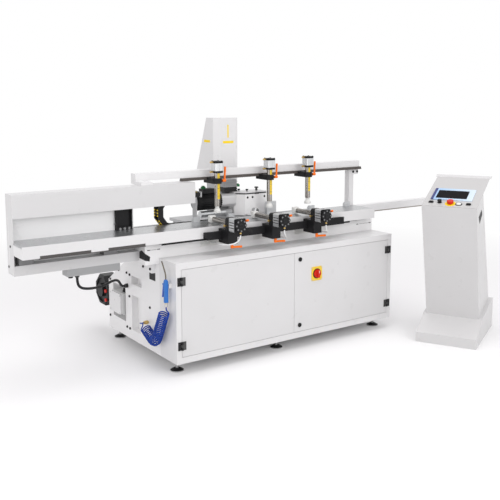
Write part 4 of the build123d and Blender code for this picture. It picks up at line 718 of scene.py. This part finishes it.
# Coiled hose: the helix is wound round the smooth line of its centre
coil_route = ((62, 380), (97, 315), (131.5, 251), (176, 168), (261, 207.5), (305, 228))
coil_line = points_along([shop(-46, y, z) for y, z in coil_route], 24)
reach = [0.0]
for a, b in zip(coil_line, coil_line[1:]):
    reach.append(reach[-1] + (b - a).length)
per_turn = 14
coil_steps = 26 * per_turn
coil_radius = 0.0298
coil_points = [shop(-30, 66, 414), shop(-30, 67, 402), shop(-25, 74, 390)]
for step in range(3, coil_steps - 2):
    distance = reach[-1] * step / coil_steps
    k = max(i for i, r in enumerate(reach[:-1]) if r <= distance + 1e-9)
    share = (distance - reach[k]) / (reach[k + 1] - reach[k])
    centre = coil_line[k].lerp(coil_line[k + 1], share)
    along = (coil_line[min(k + 2, len(coil_line) - 1)] - coil_line[max(k - 1, 0)]).normalized()
    across = Vector((0, -along.z, along.y))
    angle = math.tau * step / per_turn
    coil_points.append(centre + (across * math.cos(angle) + RIGHT * math.sin(angle)) * coil_radius)
coil_end = (
    (-67, 298, 248),
    (-59, 311, 255),
    (-58, 334, 254),
    (-57, 357, 248),
    (-44, 366, 243),
    (-26, 366, 243),
)
coil_points += [shop(*p) for p in coil_end]
coil = cord("coiled_air_hose", "base", coil_points, 0.008, coil_blue, "coil_hose")

# Energy chain: a lower run, a half circle of five links and an upper run
bend_x = 188
bend_radius = 95
lower_run = 820
chain_y = 382
pitch = 2 * bend_radius * math.sin(math.pi / 10)
chain_path = [(bend_x + (6 - k) * pitch, lower_run) for k in range(7)]
for k in range(1, 5):
    angle = math.pi * k / 5
    rise_z = lower_run + bend_radius * (1 - math.cos(angle))
    chain_path.append((bend_x - bend_radius * math.sin(angle), rise_z))
chain_path += [(bend_x + k * pitch, lower_run + 2 * bend_radius) for k in range(4)]
wide_half = 0.030
narrow_half = 0.0267
link_sheet = 0.003
link_radius = 0.017
pin_profile = [(0, 0.0075), (0.0036, 0.0075), (0.0042, 0.006)]
bar_corners = ((-0.007, 0.0142), (0.007, 0.0142), (0.007, 0.0168), (-0.007, 0.0168))
clip_corners = ((-0.0045, 0.0167), (0.0045, 0.0167), (0.0038, 0.0192), (-0.0038, 0.0192))


def chain_link(bm, a, b, half):
    """A link between two pins: side plates with pin heads and a ridge, cross bars and yellow clips."""
    along = (b - a).normalized()
    rise = FRONT.cross(along)
    for side in (-1, 1):
        deep = BACK * side
        face = deep * (half - link_sheet)
        outline = []
        for centre, turn in ((b, -90), (a, 90)):
            for k in range(9):
                angle = math.radians(turn + 180 * k / 8)
                spoke = along * math.cos(angle) + rise * math.sin(angle)
                outline.append(centre + face + spoke * link_radius)
        prism(bm, outline, deep * link_sheet)
        for pin in (a, b):
            turned(bm, pin + face, deep, pin_profile, 14)
        ridge = ((0.38, -0.011), (0.62, -0.011), (0.62, 0.011), (0.38, 0.011))
        prism(bm, [a.lerp(b, t) + deep * half + rise * h for t, h in ridge], deep * 0.0008)
    reach_in = half - link_sheet
    bar_start = a.lerp(b, 0.5) + FRONT * reach_in
    for level in (-1, 1):
        bar = [bar_start + along * u + rise * (level * w) for u, w in bar_corners]
        prism(bm, bar, BACK * (2 * reach_in))
    for share in (0.2, 0.5, 0.8):
        for side in (-1, 1):
            clip_start = a.lerp(b, share) + BACK * (side * 0.019 - 0.006)
            prism(bm, [clip_start + along * u + rise * w for u, w in clip_corners], BACK * 0.012, 1)


bm = bmesh.new()
for index, (start, end) in enumerate(zip(chain_path, chain_path[1:])):
    pins = [shop(x, chain_y, z) for x, z in (start, end)]
    chain_link(bm, *pins, narrow_half if index % 2 else wide_half)
chain = piece("energy_chain_links", None, bm, (black_moulding, yellow_moulding))
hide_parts("energy_chain")
shop(188, 382, 842)
shop(188, 382, 988)
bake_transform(chain)

# Vertical clamps
column_y = 290
boss_z = 1097
tape_ends = (983, 1146)
tape_radius = 0.01815
air_nut = [(0, 0.0055), (0.004, 0.0055), (0.004, 0.0043), (0.012, 0.0043)]
air_collar = [(0, 0.0062), (0.009, 0.0062), (0.01, 0.005)]
lever_cap = [(0, 0.006), (0.002, 0.006), (0.0032, 0.0045)]
for number, x in enumerate(vertical_clamps, 1):
    column = f"vertical_column_{number}"
    # Measuring tape round the front of the column
    bm = bmesh.new()
    tape = []
    for k in range(9):
        angle = math.radians(-115 + 70 * k / 8)
        out = Vector((math.cos(angle), math.sin(angle), 0))
        tape.append([bm.verts.new(shop(x, column_y, z) + out * tape_radius) for z in tape_ends])
    for a, b in zip(tape, tape[1:]):
        bm.faces.new((a[0], b[0], b[1], a[1]))
    piece(f"column_tape_{number}", column, bm, tape_yellow)
    # Bolts and air fittings of the cylinder
    seats = [shop(x + dx, column_y + dy, 1222) for dx in (-22, 22) for dy in (-22, 22)]
    bolted(f"column_bolts_{number}", column, seats, UP, 0.0042, 0.003)
    fittings = []
    for z in (1154.5, 1215.5):
        fittings.append((shop(x - 29, column_y, z), LEFT, air_nut, 6))
        fittings.append((shop(x - 41, column_y, z), LEFT, air_collar, 18))
    turned_piece(f"column_fittings_{number}", column, bare_brass, "chrome", *fittings)
    # Jaw screws, the screw in the boss and the lever's cap
    bm = bmesh.new()
    for dx in (-18, 18):
        socket_bolt(bm, shop(x + dx, 344, 1114), UP, 0.0045, 0.0035)
    socket_bolt(bm, shop(x, 260.2, boss_z), FRONT, 0.0048, 0.004)
    piece(f"vertical_bracket_bolts_{number}", f"vertical_bracket_{number}", bm, bolt_black)
    cap = (shop(x + 56.3, 280, boss_z), RIGHT, lever_cap, 20)
    turned_piece(f"column_lever_cap_{number}", f"column_lever_{number}", bolt_black, "orange_plastic", cap)

# Front clamps
cap_y = -80.3
bore_z = 868
cap_plug = [(0, 0.013), (0.003, 0.013), (0.004, 0.0115), (0.004, 0.006), (0.0015, 0.0055)]
hose_collar = [(0, 0.0072), (0.003, 0.0072), (0.003, 0.0066), (0.0075, 0.0066)]
stop_screw = [(0, 0.004), (0.014, 0.004), (0.014, 0.0075), (0.02, 0.0075), (0.021, 0.006)]
for number, x in enumerate(front_clamps, 1):
    cylinder = f"front_cylinder_{number}"
    bracket = f"front_bracket_{number}"
    # Eight bolts and the centre plug on the lobed cap
    angles = [math.tau * k / 8 for k in range(8)]
    seats = [shop(x + 32 * math.cos(angle), cap_y, bore_z + 32 * math.sin(angle)) for angle in angles]
    bolted(f"cylinder_cap_bolts_{number}", cylinder, seats, FRONT, 0.005, 0.0035, dull_zinc)
    plug = (shop(x, cap_y, bore_z), FRONT, cap_plug, 24)
    turned_piece(f"cylinder_cap_plug_{number}", cylinder, black_moulding, "aluminium", plug)
    # Grooves of the square body
    bm = bmesh.new()
    for side in (-40.9, 40.9):
        for z in (852, 868, 884):
            slab(bm, shop(x + side - 0.3, -63, z - 2.2), shop(x + side + 0.3, -12, z + 2.2))
    for dx in (-16, 0, 16):
        slab(bm, shop(x + dx - 2.2, -63, 908.7), shop(x + dx + 2.2, -12, 909.2))
    piece(f"cylinder_grooves_{number}", cylinder, bm, satin_black)
    collar = (shop(x, elbow_y, 818.5), DOWN, hose_collar, 20)
    turned_piece(f"hose_collar_{number}", cylinder, black_moulding, "black_plastic", collar)
    # Screws of the bracket and its brass stop on the left
    seats = [shop(x + dx, 9, z) for dx in (-22, 22) for z in (838, 893)]
    bolted(f"front_bracket_bolts_{number}", bracket, seats, FRONT, 0.0045, 0.0032)
    stop = (shop(x - 32, 27, 858), LEFT, stop_screw, 18)
    turned_piece(f"bracket_stop_screw_{number}", bracket, bare_brass, "black_metal", stop)

# End plates: place across, height, and the seats' places at the left and the right end
plate_bolts = (
    (900, 412, 0, 1720),
    (912, 160, 0, 1720),
    (646, 502, 0, 1720),
    (603, 497, 0, 1720),
    (611, 354, 0, 1720),
    (653, 142, 0, 1720),
    (612, 141, 0, 1720),
    (765, 498, 0, 1720),
    (334, 342, 4, 1716),
    (348, 602, -30, 1720),
    (257, 602, -30, 1720),
)
bm = bmesh.new()
for y, z, left_x, right_x in plate_bolts:
    socket_bolt(bm, shop(left_x, y, z), LEFT, 0.008, 0.006)
    socket_bolt(bm, shop(right_x, y, z), RIGHT, 0.008, 0.006)
piece("end_plate_bolts", "base", bm, bolt_black)

# Black patch on the left end plate: painted shade for a shaded recess
bm = bmesh.new()
plate(bm, shop(0.2, 291, 549), BACK, UP, (0.078, 0.052), 0.003, LEFT * 0.0006)
piece("end_plate_shade_patch", "base", bm, black_moulding)

# Junction box: deep cover with a neck under its lid, screws and glands
box_steps = (
    (-12, (0.158, 0.128), 0.0145),
    (-27.5, (0.164, 0.134), 0.004),
    (-26, (0.152, 0.122), 0.002),
)
bm = bmesh.new()
for x, size, depth in box_steps:
    plate(bm, shop(x, 767, 284), BACK, UP, size, 0.006, LEFT * depth)
piece("junction_box_lid", "base", bm, white_enamel, 0.0012)
seats = [shop(-31.5, y, z) for y in (696, 838) for z in (228, 340)]
bolted("junction_box_screws", "base", seats, LEFT, 0.004, 0.003, bright_zinc, hex_bolt)
gland_nut = [(0, 0.011), (0.007, 0.011), (0.008, 0.01)]
gland_neck = [(0, 0.0095), (0.006, 0.0095), (0.011, 0.0065), (0.02, 0.0065)]
glands = []
for y in (704, 734):
    glands.append((shop(20, y, 353.8), UP, gland_nut, 6))
    glands.append((shop(20, y, 361), UP, gland_neck, 20))
turned_piece("junction_box_glands", "base", black_moulding, "black_plastic", *glands)

# Guard, its upright, and the overhead beam
seats = [shop(-832, y, z) for y, z in ((324, 817), (362, 700))]
bolted("guard_end_bolts", "base", seats, LEFT, 0.0075, 0.002)
bm = bmesh.new()
for x in (-190, -161, -132):
    hex_bolt(bm, shop(x, 319, 851), FRONT, 0.0058, 0.0055)
for side, x in ((LEFT, -212), (RIGHT, -109)):
    hex_bolt(bm, shop(x, 334, 880), side, 0.0055, 0.006)
piece("upright_bolts", "base", bm, dull_zinc)
bm = bmesh.new()
plate(bm, shop(1718, 389, 1090), RIGHT, UP, (0.068, 0.056), 0.004, FRONT * 0.003)
piece("beam_end_plate", "base", bm, white_enamel, 0.0006)
seats = [shop(x, 386, 1081) for x in (1703, 1742)]
bolted("beam_bolts", "base", seats, FRONT, 0.007, 0.006, bolt=hex_bolt)
seats = [shop(x, 79, 794) for x in range(300, 1340, 130)]
bolted("front_rail_bolts", "base", seats, FRONT, 0.0055, 0.002)

# Dark strip under the skirt's front edge, with a rebate along its foot: painted shade for the shaded
# underside of the skirt
edge_shade_section = ((124.3, 775), (130, 775), (130, 763), (126.5, 763), (126.5, 766), (124.3, 766))
bm = bmesh.new()
prism(bm, [shop(-20, y, z) for y, z in edge_shade_section], RIGHT * 1.46)
piece("skirt_edge_shade_strip", "base", bm, satin_black, 0.0004)

# Brush seals over the hose slots of the bed: two rows of bristles between two holders
for number, (x, side) in enumerate(zip(front_clamps, hose_sides), 1):
    slot_x = x + 35 * side
    bm = bmesh.new()
    for k in range(72):
        start = slot_x - 74 + 2.05 * k
        front_y = 198.6 + 0.3 * (k % 2)
        for low, high in ((714, 727.7), (728.3, 742)):
            slab(bm, shop(start, front_y, low), shop(start + 1.9, 199.6, high))
    for low, high in ((711, 716), (740, 745)):
        slab(bm, shop(slot_x - 78, 198.0, low), shop(slot_x + 78, 199.9, high))
    piece(f"hose_slot_brush_{number}", "base", bm, white_moulding)

# Black patches of painted shade: the dark opening at the bed's left front corner, and the narrow slots near
# both ends
bm = bmesh.new()
end_recess = ((271, 713), (239, 725), (200, 712), (200, 669), (273, 674))
prism(bm, [shop(-92.1, y, z) for y, z in end_recess], LEFT * 0.0006)
front_recess = ((-92.4, 712), (-59, 689), (-63, 662), (-92.4, 669))
prism(bm, [shop(x, 200.1, z) for x, z in front_recess], FRONT * 0.0006)
for low, high in ((-68, -2), (1579, 1700)):
    slab(bm, shop(low, 199.4, 727.6), shop(high, 200.1, 729.2))
    for end in (low, high):
        slab(bm, shop(end - 9, 199.2, 726), shop(end + 9, 200.1, 731))
piece("bed_end_shade_patches", "base", bm, black_moulding)

# Dark strip behind the skirt's notches: painted shade for the dark seen through them
bm = bmesh.new()
notch_shade_section = ((129.8, 789), (135, 789), (135, 768), (132.5, 768), (132.5, 772), (129.8, 772))
prism(bm, [shop(-744, y, z) for y, z in notch_shade_section], RIGHT * 0.624)
piece("skirt_notch_shade_strip", "base", bm, notch_shade_rubber, 0.0004)


# Machining head
def lid_outline(margin, z):
    """The spindle housing's plan with its cut corner, drawn in by a margin."""
    slip = 0.414 * margin
    front_y, back_y = 400 + margin, 520 - margin
    left_x, right_x = 700 + margin, 926 - margin
    plan = (
        (755 + slip, front_y),
        (right_x, front_y),
        (right_x, back_y),
        (left_x, back_y),
        (left_x, 455 + slip),
    )
    return [shop(x, y, z) for x, y in plan]


bm = bmesh.new()
prism(bm, lid_outline(-0.2, 978.5), UP * 0.008)
piece("lid_gasket", "plunge", bm, black_moulding)
bm = bmesh.new()
prism(bm, lid_outline(-0.5, 986.4), UP * 0.0078)
piece("housing_lid", "plunge", bm, white_enamel, 0.0012)
knob = [(0, 0.004), (0.004, 0.004), (0.004, 0.0085), (0.011, 0.0085), (0.0125, 0.007)]
knobs = [(shop(x, y, 994), UP, knob, 20) for x, y in ((809, 460), (770, 500))]
turned_piece("lid_knobs", "plunge", black_moulding, "black_plastic", *knobs)
bm = bmesh.new()
for x in (774, 814, 912):
    turned(bm, shop(x, 400.2, 957), FRONT, [(0, 0.0075), (0.0006, 0.0075), (0.0008, 0.006)], 20)
plate(bm, shop(849, 400, 982), RIGHT, UP, (0.04, 0.011), 0.005, FRONT * 0.0018)
piece("housing_ports", "plunge", bm, black_moulding)
seats = [shop(926, y, z) for y in (410, 510) for z in (855, 970)]
bolted("housing_bolts", "plunge", seats, RIGHT, 0.0055, 0.004)
bm = bmesh.new()
slab(bm, shop(455, 440, 998), shop(545, 500, 1030))
piece("motor_terminal_box", "plunge", bm, black_moulding, 0.003)
fan_cover = [
    (0, 0.042),
    (0.003, 0.042),
    (0.003, 0.036),
    (0.0012, 0.034),
    (0.0012, 0.012),
    (0.004, 0.011),
    (0.005, 0.009),
]
cover = (shop(405, 470, 945), LEFT, fan_cover, 32)
turned_piece("motor_fan_cover", "plunge", grey_moulding, "black_aluminium", cover)

# Green cable plugs of the lift drive and of the motor
for name, body, foot in (
    ("drive_plug", "lift", shop(753, 492, 1024)),
    ("motor_plug", "plunge", shop(465, 460, 1029.8)),
):
    bm = bmesh.new()
    plate(bm, foot, RIGHT, BACK, (0.026, 0.024), 0.004, UP * 0.014)
    plate(bm, foot, RIGHT, BACK, (0.018, 0.016), 0.004, UP * 0.02)
    piece(name, body, bm, green_moulding, 0.001)

# Plain yellow strips on the column cover
bm = bmesh.new()
slab(bm, shop(719, 559.7, 1349), shop(729, 560.1, 1436))
slab(bm, shop(683, 559.7, 1312), shop(768, 560.1, 1328))
slab(bm, shop(628.2, 636, 1316), shop(628.6, 712, 1332))
piece("cover_strips", "carriage", bm, yellow_moulding)

# Main switch
switch_x = 1043
switch_z = 482
ring = (shop(switch_x, -4, switch_z), FRONT, [(0, 0.0335), (0.0003, 0.0335)], 40)
turned_piece("switch_ring", "right_door", black_moulding, "white_paint", ring)
seats = [shop(switch_x + dx, -4, switch_z + dz) for dx in (-36, 36) for dz in (-39, 39)]
bolted("switch_screws", "right_door", seats, FRONT, 0.0032, 0.0022, bright_zinc)
bm = bmesh.new()
slab(bm, shop(switch_x - 1.5, -29.3, 487), shop(switch_x + 1.5, -28.6, 504))
piece("switch_pointer", "main_switch", bm, white_moulding)

# Console: it stands askew, and its desk slopes up to the rear
facing = Vector((188, -352, 0)).normalized()
inward = Vector((-facing.y, facing.x, 0))
console_corner = shop(1638, -329.45, 0)
slope = (inward * 450 + UP * 157).normalized()
outward = facing.cross(slope)
desk_edge = console_corner + facing * 0.196 - inward * 0.050 + UP * 0.925
desk_sheet = 4.0


def on_desk(across, along, height=0.0):
    """A place on the console's desk, from the middle of its lower edge, in millimetres."""
    return desk_edge + (facing * across + slope * along + outward * (height + desk_sheet)) / 1000


screen_middle = on_desk(-6, 171)


def screen_picture():
    """The screen unit's printed surround: pale blue, with a dark blue left end."""
    paint = Paint("screen_surround")
    sockets = {0: paint.place, 1: facing}
    across = paint.node("ShaderNodeVectorMath", {"operation": "DOT_PRODUCT"}, sockets, "Value")
    band_end = screen_middle.dot(facing) - 0.1135
    pale = paint.mix((across - band_end) * 3.8, (0.36, 0.55, 0.8), (0.68, 0.78, 0.88))
    return paint.surface(paint.mix(across < band_end, pale, (0.01, 0.02, 0.16)), 0.32)


def display_glass():
    """Dark display glass with a faint cloud behind it."""
    paint = Paint("display_glass")
    colour = paint.mix(paint.noise(30.0, 3.0), (0.004, 0.004, 0.006), (0.012, 0.011, 0.013))
    return paint.surface(colour, 0.45, specular=0.03)


bm = bmesh.new()
plate(bm, screen_middle, facing, slope, (0.263, 0.164), 0.004, outward * 0.006)
piece("screen_unit", "base", bm, screen_picture(), 0.001)
bm = bmesh.new()
plate(bm, on_desk(-10, 165, 6.0), facing, slope, (0.197, 0.114), 0.002, outward * 0.0008)
piece("screen_glass", "base", bm, display_glass())
bm = bmesh.new()
lip_section = ((443, 0.0), (474, 0.0), (474, 6.0), (471, 6.0), (445, 2.2))
prism(bm, [on_desk(-184, along, height) for along, height in lip_section], facing * 0.37)
piece("desk_lip", "base", bm, console_painted_shade_finish, 0.0006)
bm = bmesh.new()
for across, along in ((-124, 50), (114, 44)):
    plate(bm, on_desk(across, along), facing, slope, (0.03, 0.02), 0.003, outward * 0.006)
    plate(bm, on_desk(across, along, 6.0), facing, slope, (0.02, 0.011), 0.002, outward * 0.004)
piece("desk_sockets", "base", bm, black_moulding, 0.0008)

mushroom = [
    (0, 0.0145),
    (0.003, 0.0145),
    (0.003, 0.009),
    (0.01, 0.009),
    (0.012, 0.0135),
    (0.019, 0.0135),
    (0.022, 0.009),
]
stop_collar = [
    (0, 0.034),
    (0.0012, 0.034),
    (0.0014, 0.0335),
    (0.0014, 0.0222),
    (0.0003, 0.0216),
    (0.0003, 0.0098),
    (0.0001, 0.0098),
]
bezel = [(0, 0.0225), (0.0016, 0.0225), (0.0024, 0.0215), (0.0024, 0.0168), (0.0005, 0.0168)]
collar = [(0, 0.0166), (0.0026, 0.0166), (0.0042, 0.0155), (0.0042, 0.0116), (0.0005, 0.0116)]
for name, place, profile, segments, finish, slot in (
    ("black_mushroom", (-70, 53), mushroom, 28, black_moulding, "black_plastic"),
    ("stop_collar", (0, 44), stop_collar, 40, yellow_moulding, "grey_plastic"),
    ("button_bezel", (53, 44), bezel, 36, bolt_black, "foot_steel"),
    ("button_collar", (53, 44), collar, 36, white_moulding, "white_paint"),
):
    turned_piece(name, "base", finish, slot, (on_desk(*place), outward, profile, segments))

# Black patch on the console's side: painted shade for a slot
bm = bmesh.new()
side_face = console_corner + facing * 0.3703
side_slot = ((117, 899), (146, 864), (65, 815), (25, 862))
prism(bm, [side_face + (inward * u + UP * w) / 1000 for u, w in side_slot], facing * 0.0005)
piece("console_side_slot_shade", "base", bm, black_moulding)


# Screwed sheets and louvres on the rear faces
def cover_sheet(name, body, centre, along, rise, size, finish, columns, rows):
    """A sheet with screws along its edge, lying on the face it covers."""
    out = along.cross(rise).normalized()
    thick = out * 0.002
    corner_radius = 0.012
    screw_inset = 0.014
    bm = bmesh.new()
    plate(bm, centre, along, rise, size, corner_radius, thick)
    piece(name, body, bm, finish, 0.0006)
    places = [(2 * k / (columns - 1) - 1, side) for k in range(columns) for side in (-1, 1)]
    places += [(side, 2 * k / (rows - 1) - 1) for k in range(1, rows - 1) for side in (-1, 1)]
    u, v = (length / 2 - screw_inset for length in size)
    seats = [centre + along * (a * u) + rise * (b * v) + thick for a, b in places]
    bolted(f"{name}_screws", body, seats, out, 0.0048, 0.003)


def louvres(name, centre, count, length):
    """Pressed air slots in a rear sheet: one hood above another, with a black band below each as painted
    shade for its opening.
    """
    bm = bmesh.new()
    pitch = UP * 0.016
    lip = UP * 0.0018
    depth = BACK * 0.0006
    for k in range(count):
        low = centre + pitch * (k - (count - 1) / 2) + RIGHT * (length / 2)
        prism(bm, (low, low + UP * 0.009, low + UP * 0.002 + BACK * 0.006), LEFT * length)
        # The black band under each hood is painted shade for the opening
        prism(bm, (low - lip, low, low + depth, low - lip + depth), LEFT * length, 1)
    piece(name, "base", bm, (white_enamel, black_moulding))


for name, x in (("rear_sheet_left", 480), ("rear_sheet_right", 1230)):
    cover_sheet(name, "base", shop(x, 910, 236), LEFT, UP, (0.66, 0.25), white_enamel, 6, 3)
    for place, dx in (("near", -150), ("far", 150)):
        louvres(f"{name}_louvres_{place}", shop(x + dx, 912, 236), 9, 0.18)
incline = Vector((0, -290, 178)).normalized()
cover_sheet("rear_slope_sheet", "base", shop(860, 765, 481), LEFT, incline, (1.5, 0.25), white_enamel, 9, 3)
cover_sheet("guard_rear_sheet", "base", shop(-465, 379, 880), LEFT, UP, (0.66, 0.36), guard_painted_shade_and_light_finish, 6, 4)
lean = Vector((0, -152, 422)).normalized()
cover_rear = shop(726, 761, 1265.4)
cover_sheet("cover_rear_sheet", "carriage", cover_rear, LEFT, lean, (0.15, 0.36), white_enamel, 2, 5)
lean = (inward * 387 + DOWN * 786).normalized()
console_rear = console_corner + facing * 0.196 + inward * 0.3475 + UP * 0.603
cover_sheet("console_rear_sheet", "base", console_rear, facing, lean, (0.28, 0.62), console_painted_shade_finish, 3, 5)

# Blow gun and fittings
turned_piece(
    "gun_coupling",
    "base",
    bright_zinc,
    "foot_steel",
    (shop(-30, 66, 430), DOWN, [(0, 0.0105), (0.006, 0.0105), (0.0065, 0.0095)], 6),
    (shop(-30, 66, 423), DOWN, [(0, 0.0098), (0.007, 0.0098), (0.0085, 0.0075)], 24),
)
turned_piece(
    "wall_fitting_nuts",
    "base",
    bare_brass,
    "foot_steel",
    (shop(-4, 366, 243), LEFT, [(0, 0.0135), (0.008, 0.0135), (0.009, 0.012)], 6),
    (shop(-15, 366, 243), LEFT, [(0, 0.0118), (0.008, 0.0118), (0.0095, 0.0095)], 6),
)
cable_nut = [(0, 0.0158), (0.006, 0.0158), (0.007, 0.0145)]
tray_cone = [(0, 0.0138), (0.007, 0.0138), (0.0105, 0.0095)]
wall_cone = [(0, 0.0136), (0.006, 0.0136), (0.0098, 0.0095)]
glands = []
for x in (-457, -496):
    glands.append((shop(x, 335, 616), DOWN, cable_nut, 6))
    glands.append((shop(x, 335, 607), DOWN, tray_cone, 24))
glands.append((shop(0, 641, 418), LEFT, cable_nut, 6))
glands.append((shop(-8, 641, 418), LEFT, wall_cone, 24))
turned_piece("cable_glands", "base", black_moulding, "black_plastic", *glands)

# Floor: white paper that fades into the backdrop
floor_bm = bmesh.new()
bmesh.ops.create_grid(floor_bm, x_segments=1, y_segments=1, size=60)
floor_mesh = bpy.data.meshes.new("floor")
floor_bm.to_mesh(floor_mesh)
floor_bm.free()
floor = bpy.data.objects.new("floor", floor_mesh)
scene.collection.objects.link(floor)
floor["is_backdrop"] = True
fade_from = 2.2
fade_to = 5.0
paint = Paint("floor_paper")
seen = paint.seen_rays()
spread = paint.node("ShaderNodeVectorMath", {"operation": "LENGTH"}, {0: paint.place}, "Value")
fade_range = {"Value": spread, "From Min": fade_from, "From Max": fade_to}
fade = paint.node("ShaderNodeMapRange", {"clamp": True}, fade_range)
shade = paint.mix(seen, (0.62, 0.62, 0.62), (0.93, 0.93, 0.93))
paper = paint.node("ShaderNodeBsdfPrincipled", {}, {"Base Color": shade, "Roughness": 0.9})
glow = paint.node("ShaderNodeEmission", {}, {"Color": (1.0, 1.0, 1.0), "Strength": 1.0})
both = paint.node("ShaderNodeMixShader", {}, {0: fade * seen, 1: paper, 2: glow})
paint.node("ShaderNodeOutputMaterial", {}, {"Surface": both})
floor_mesh.materials.append(paint.material)

# World: plain white where it is seen, soft light elsewhere
world = bpy.data.worlds.new("studio")
scene.world = world
sky = Nodes(world)
light = sky.node("ShaderNodeBackground", {}, {"Color": (1.0, 0.98, 1.0), "Strength": 0.8})
white = sky.node("ShaderNodeBackground", {}, {"Color": (1.0, 1.0, 1.0), "Strength": 1.0})
both = sky.node("ShaderNodeMixShader", {}, {0: sky.seen_rays(), 1: light, 2: white})
sky.node("ShaderNodeOutputWorld", {}, {"Surface": both})


def soft_light(name, place, target, size, power):
    """A round soft light in metres and watts, turned to its target."""
    lamp = bpy.data.lights.new(name, "AREA")
    lamp.shape = "DISK"
    lamp.size = size
    lamp.energy = power
    made = bpy.data.objects.new(name, lamp)
    scene.collection.objects.link(made)
    made.location = place
    made.rotation_euler = (Vector(target) - Vector(place)).to_track_quat("-Z", "Y").to_euler()


soft_light("key", (-4.4, -4.2, 3.3), (0, 0, 0.7), 3.0, 44)
soft_light("side", (-5.6, -0.6, 1.5), (-0.8, 0.1, 0.6), 2.6, 40)
soft_light("front", (0.3, -5.2, 2.6), (0, 0, 0.7), 3.0, 58)
soft_light("fill", (1.2, -5.4, 1.0), (0.3, 0, 0.75), 3.0, 20)
soft_light("top", (-0.2, -0.9, 5.2), (0, 0.1, 0.8), 3.5, 60)

low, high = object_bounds()
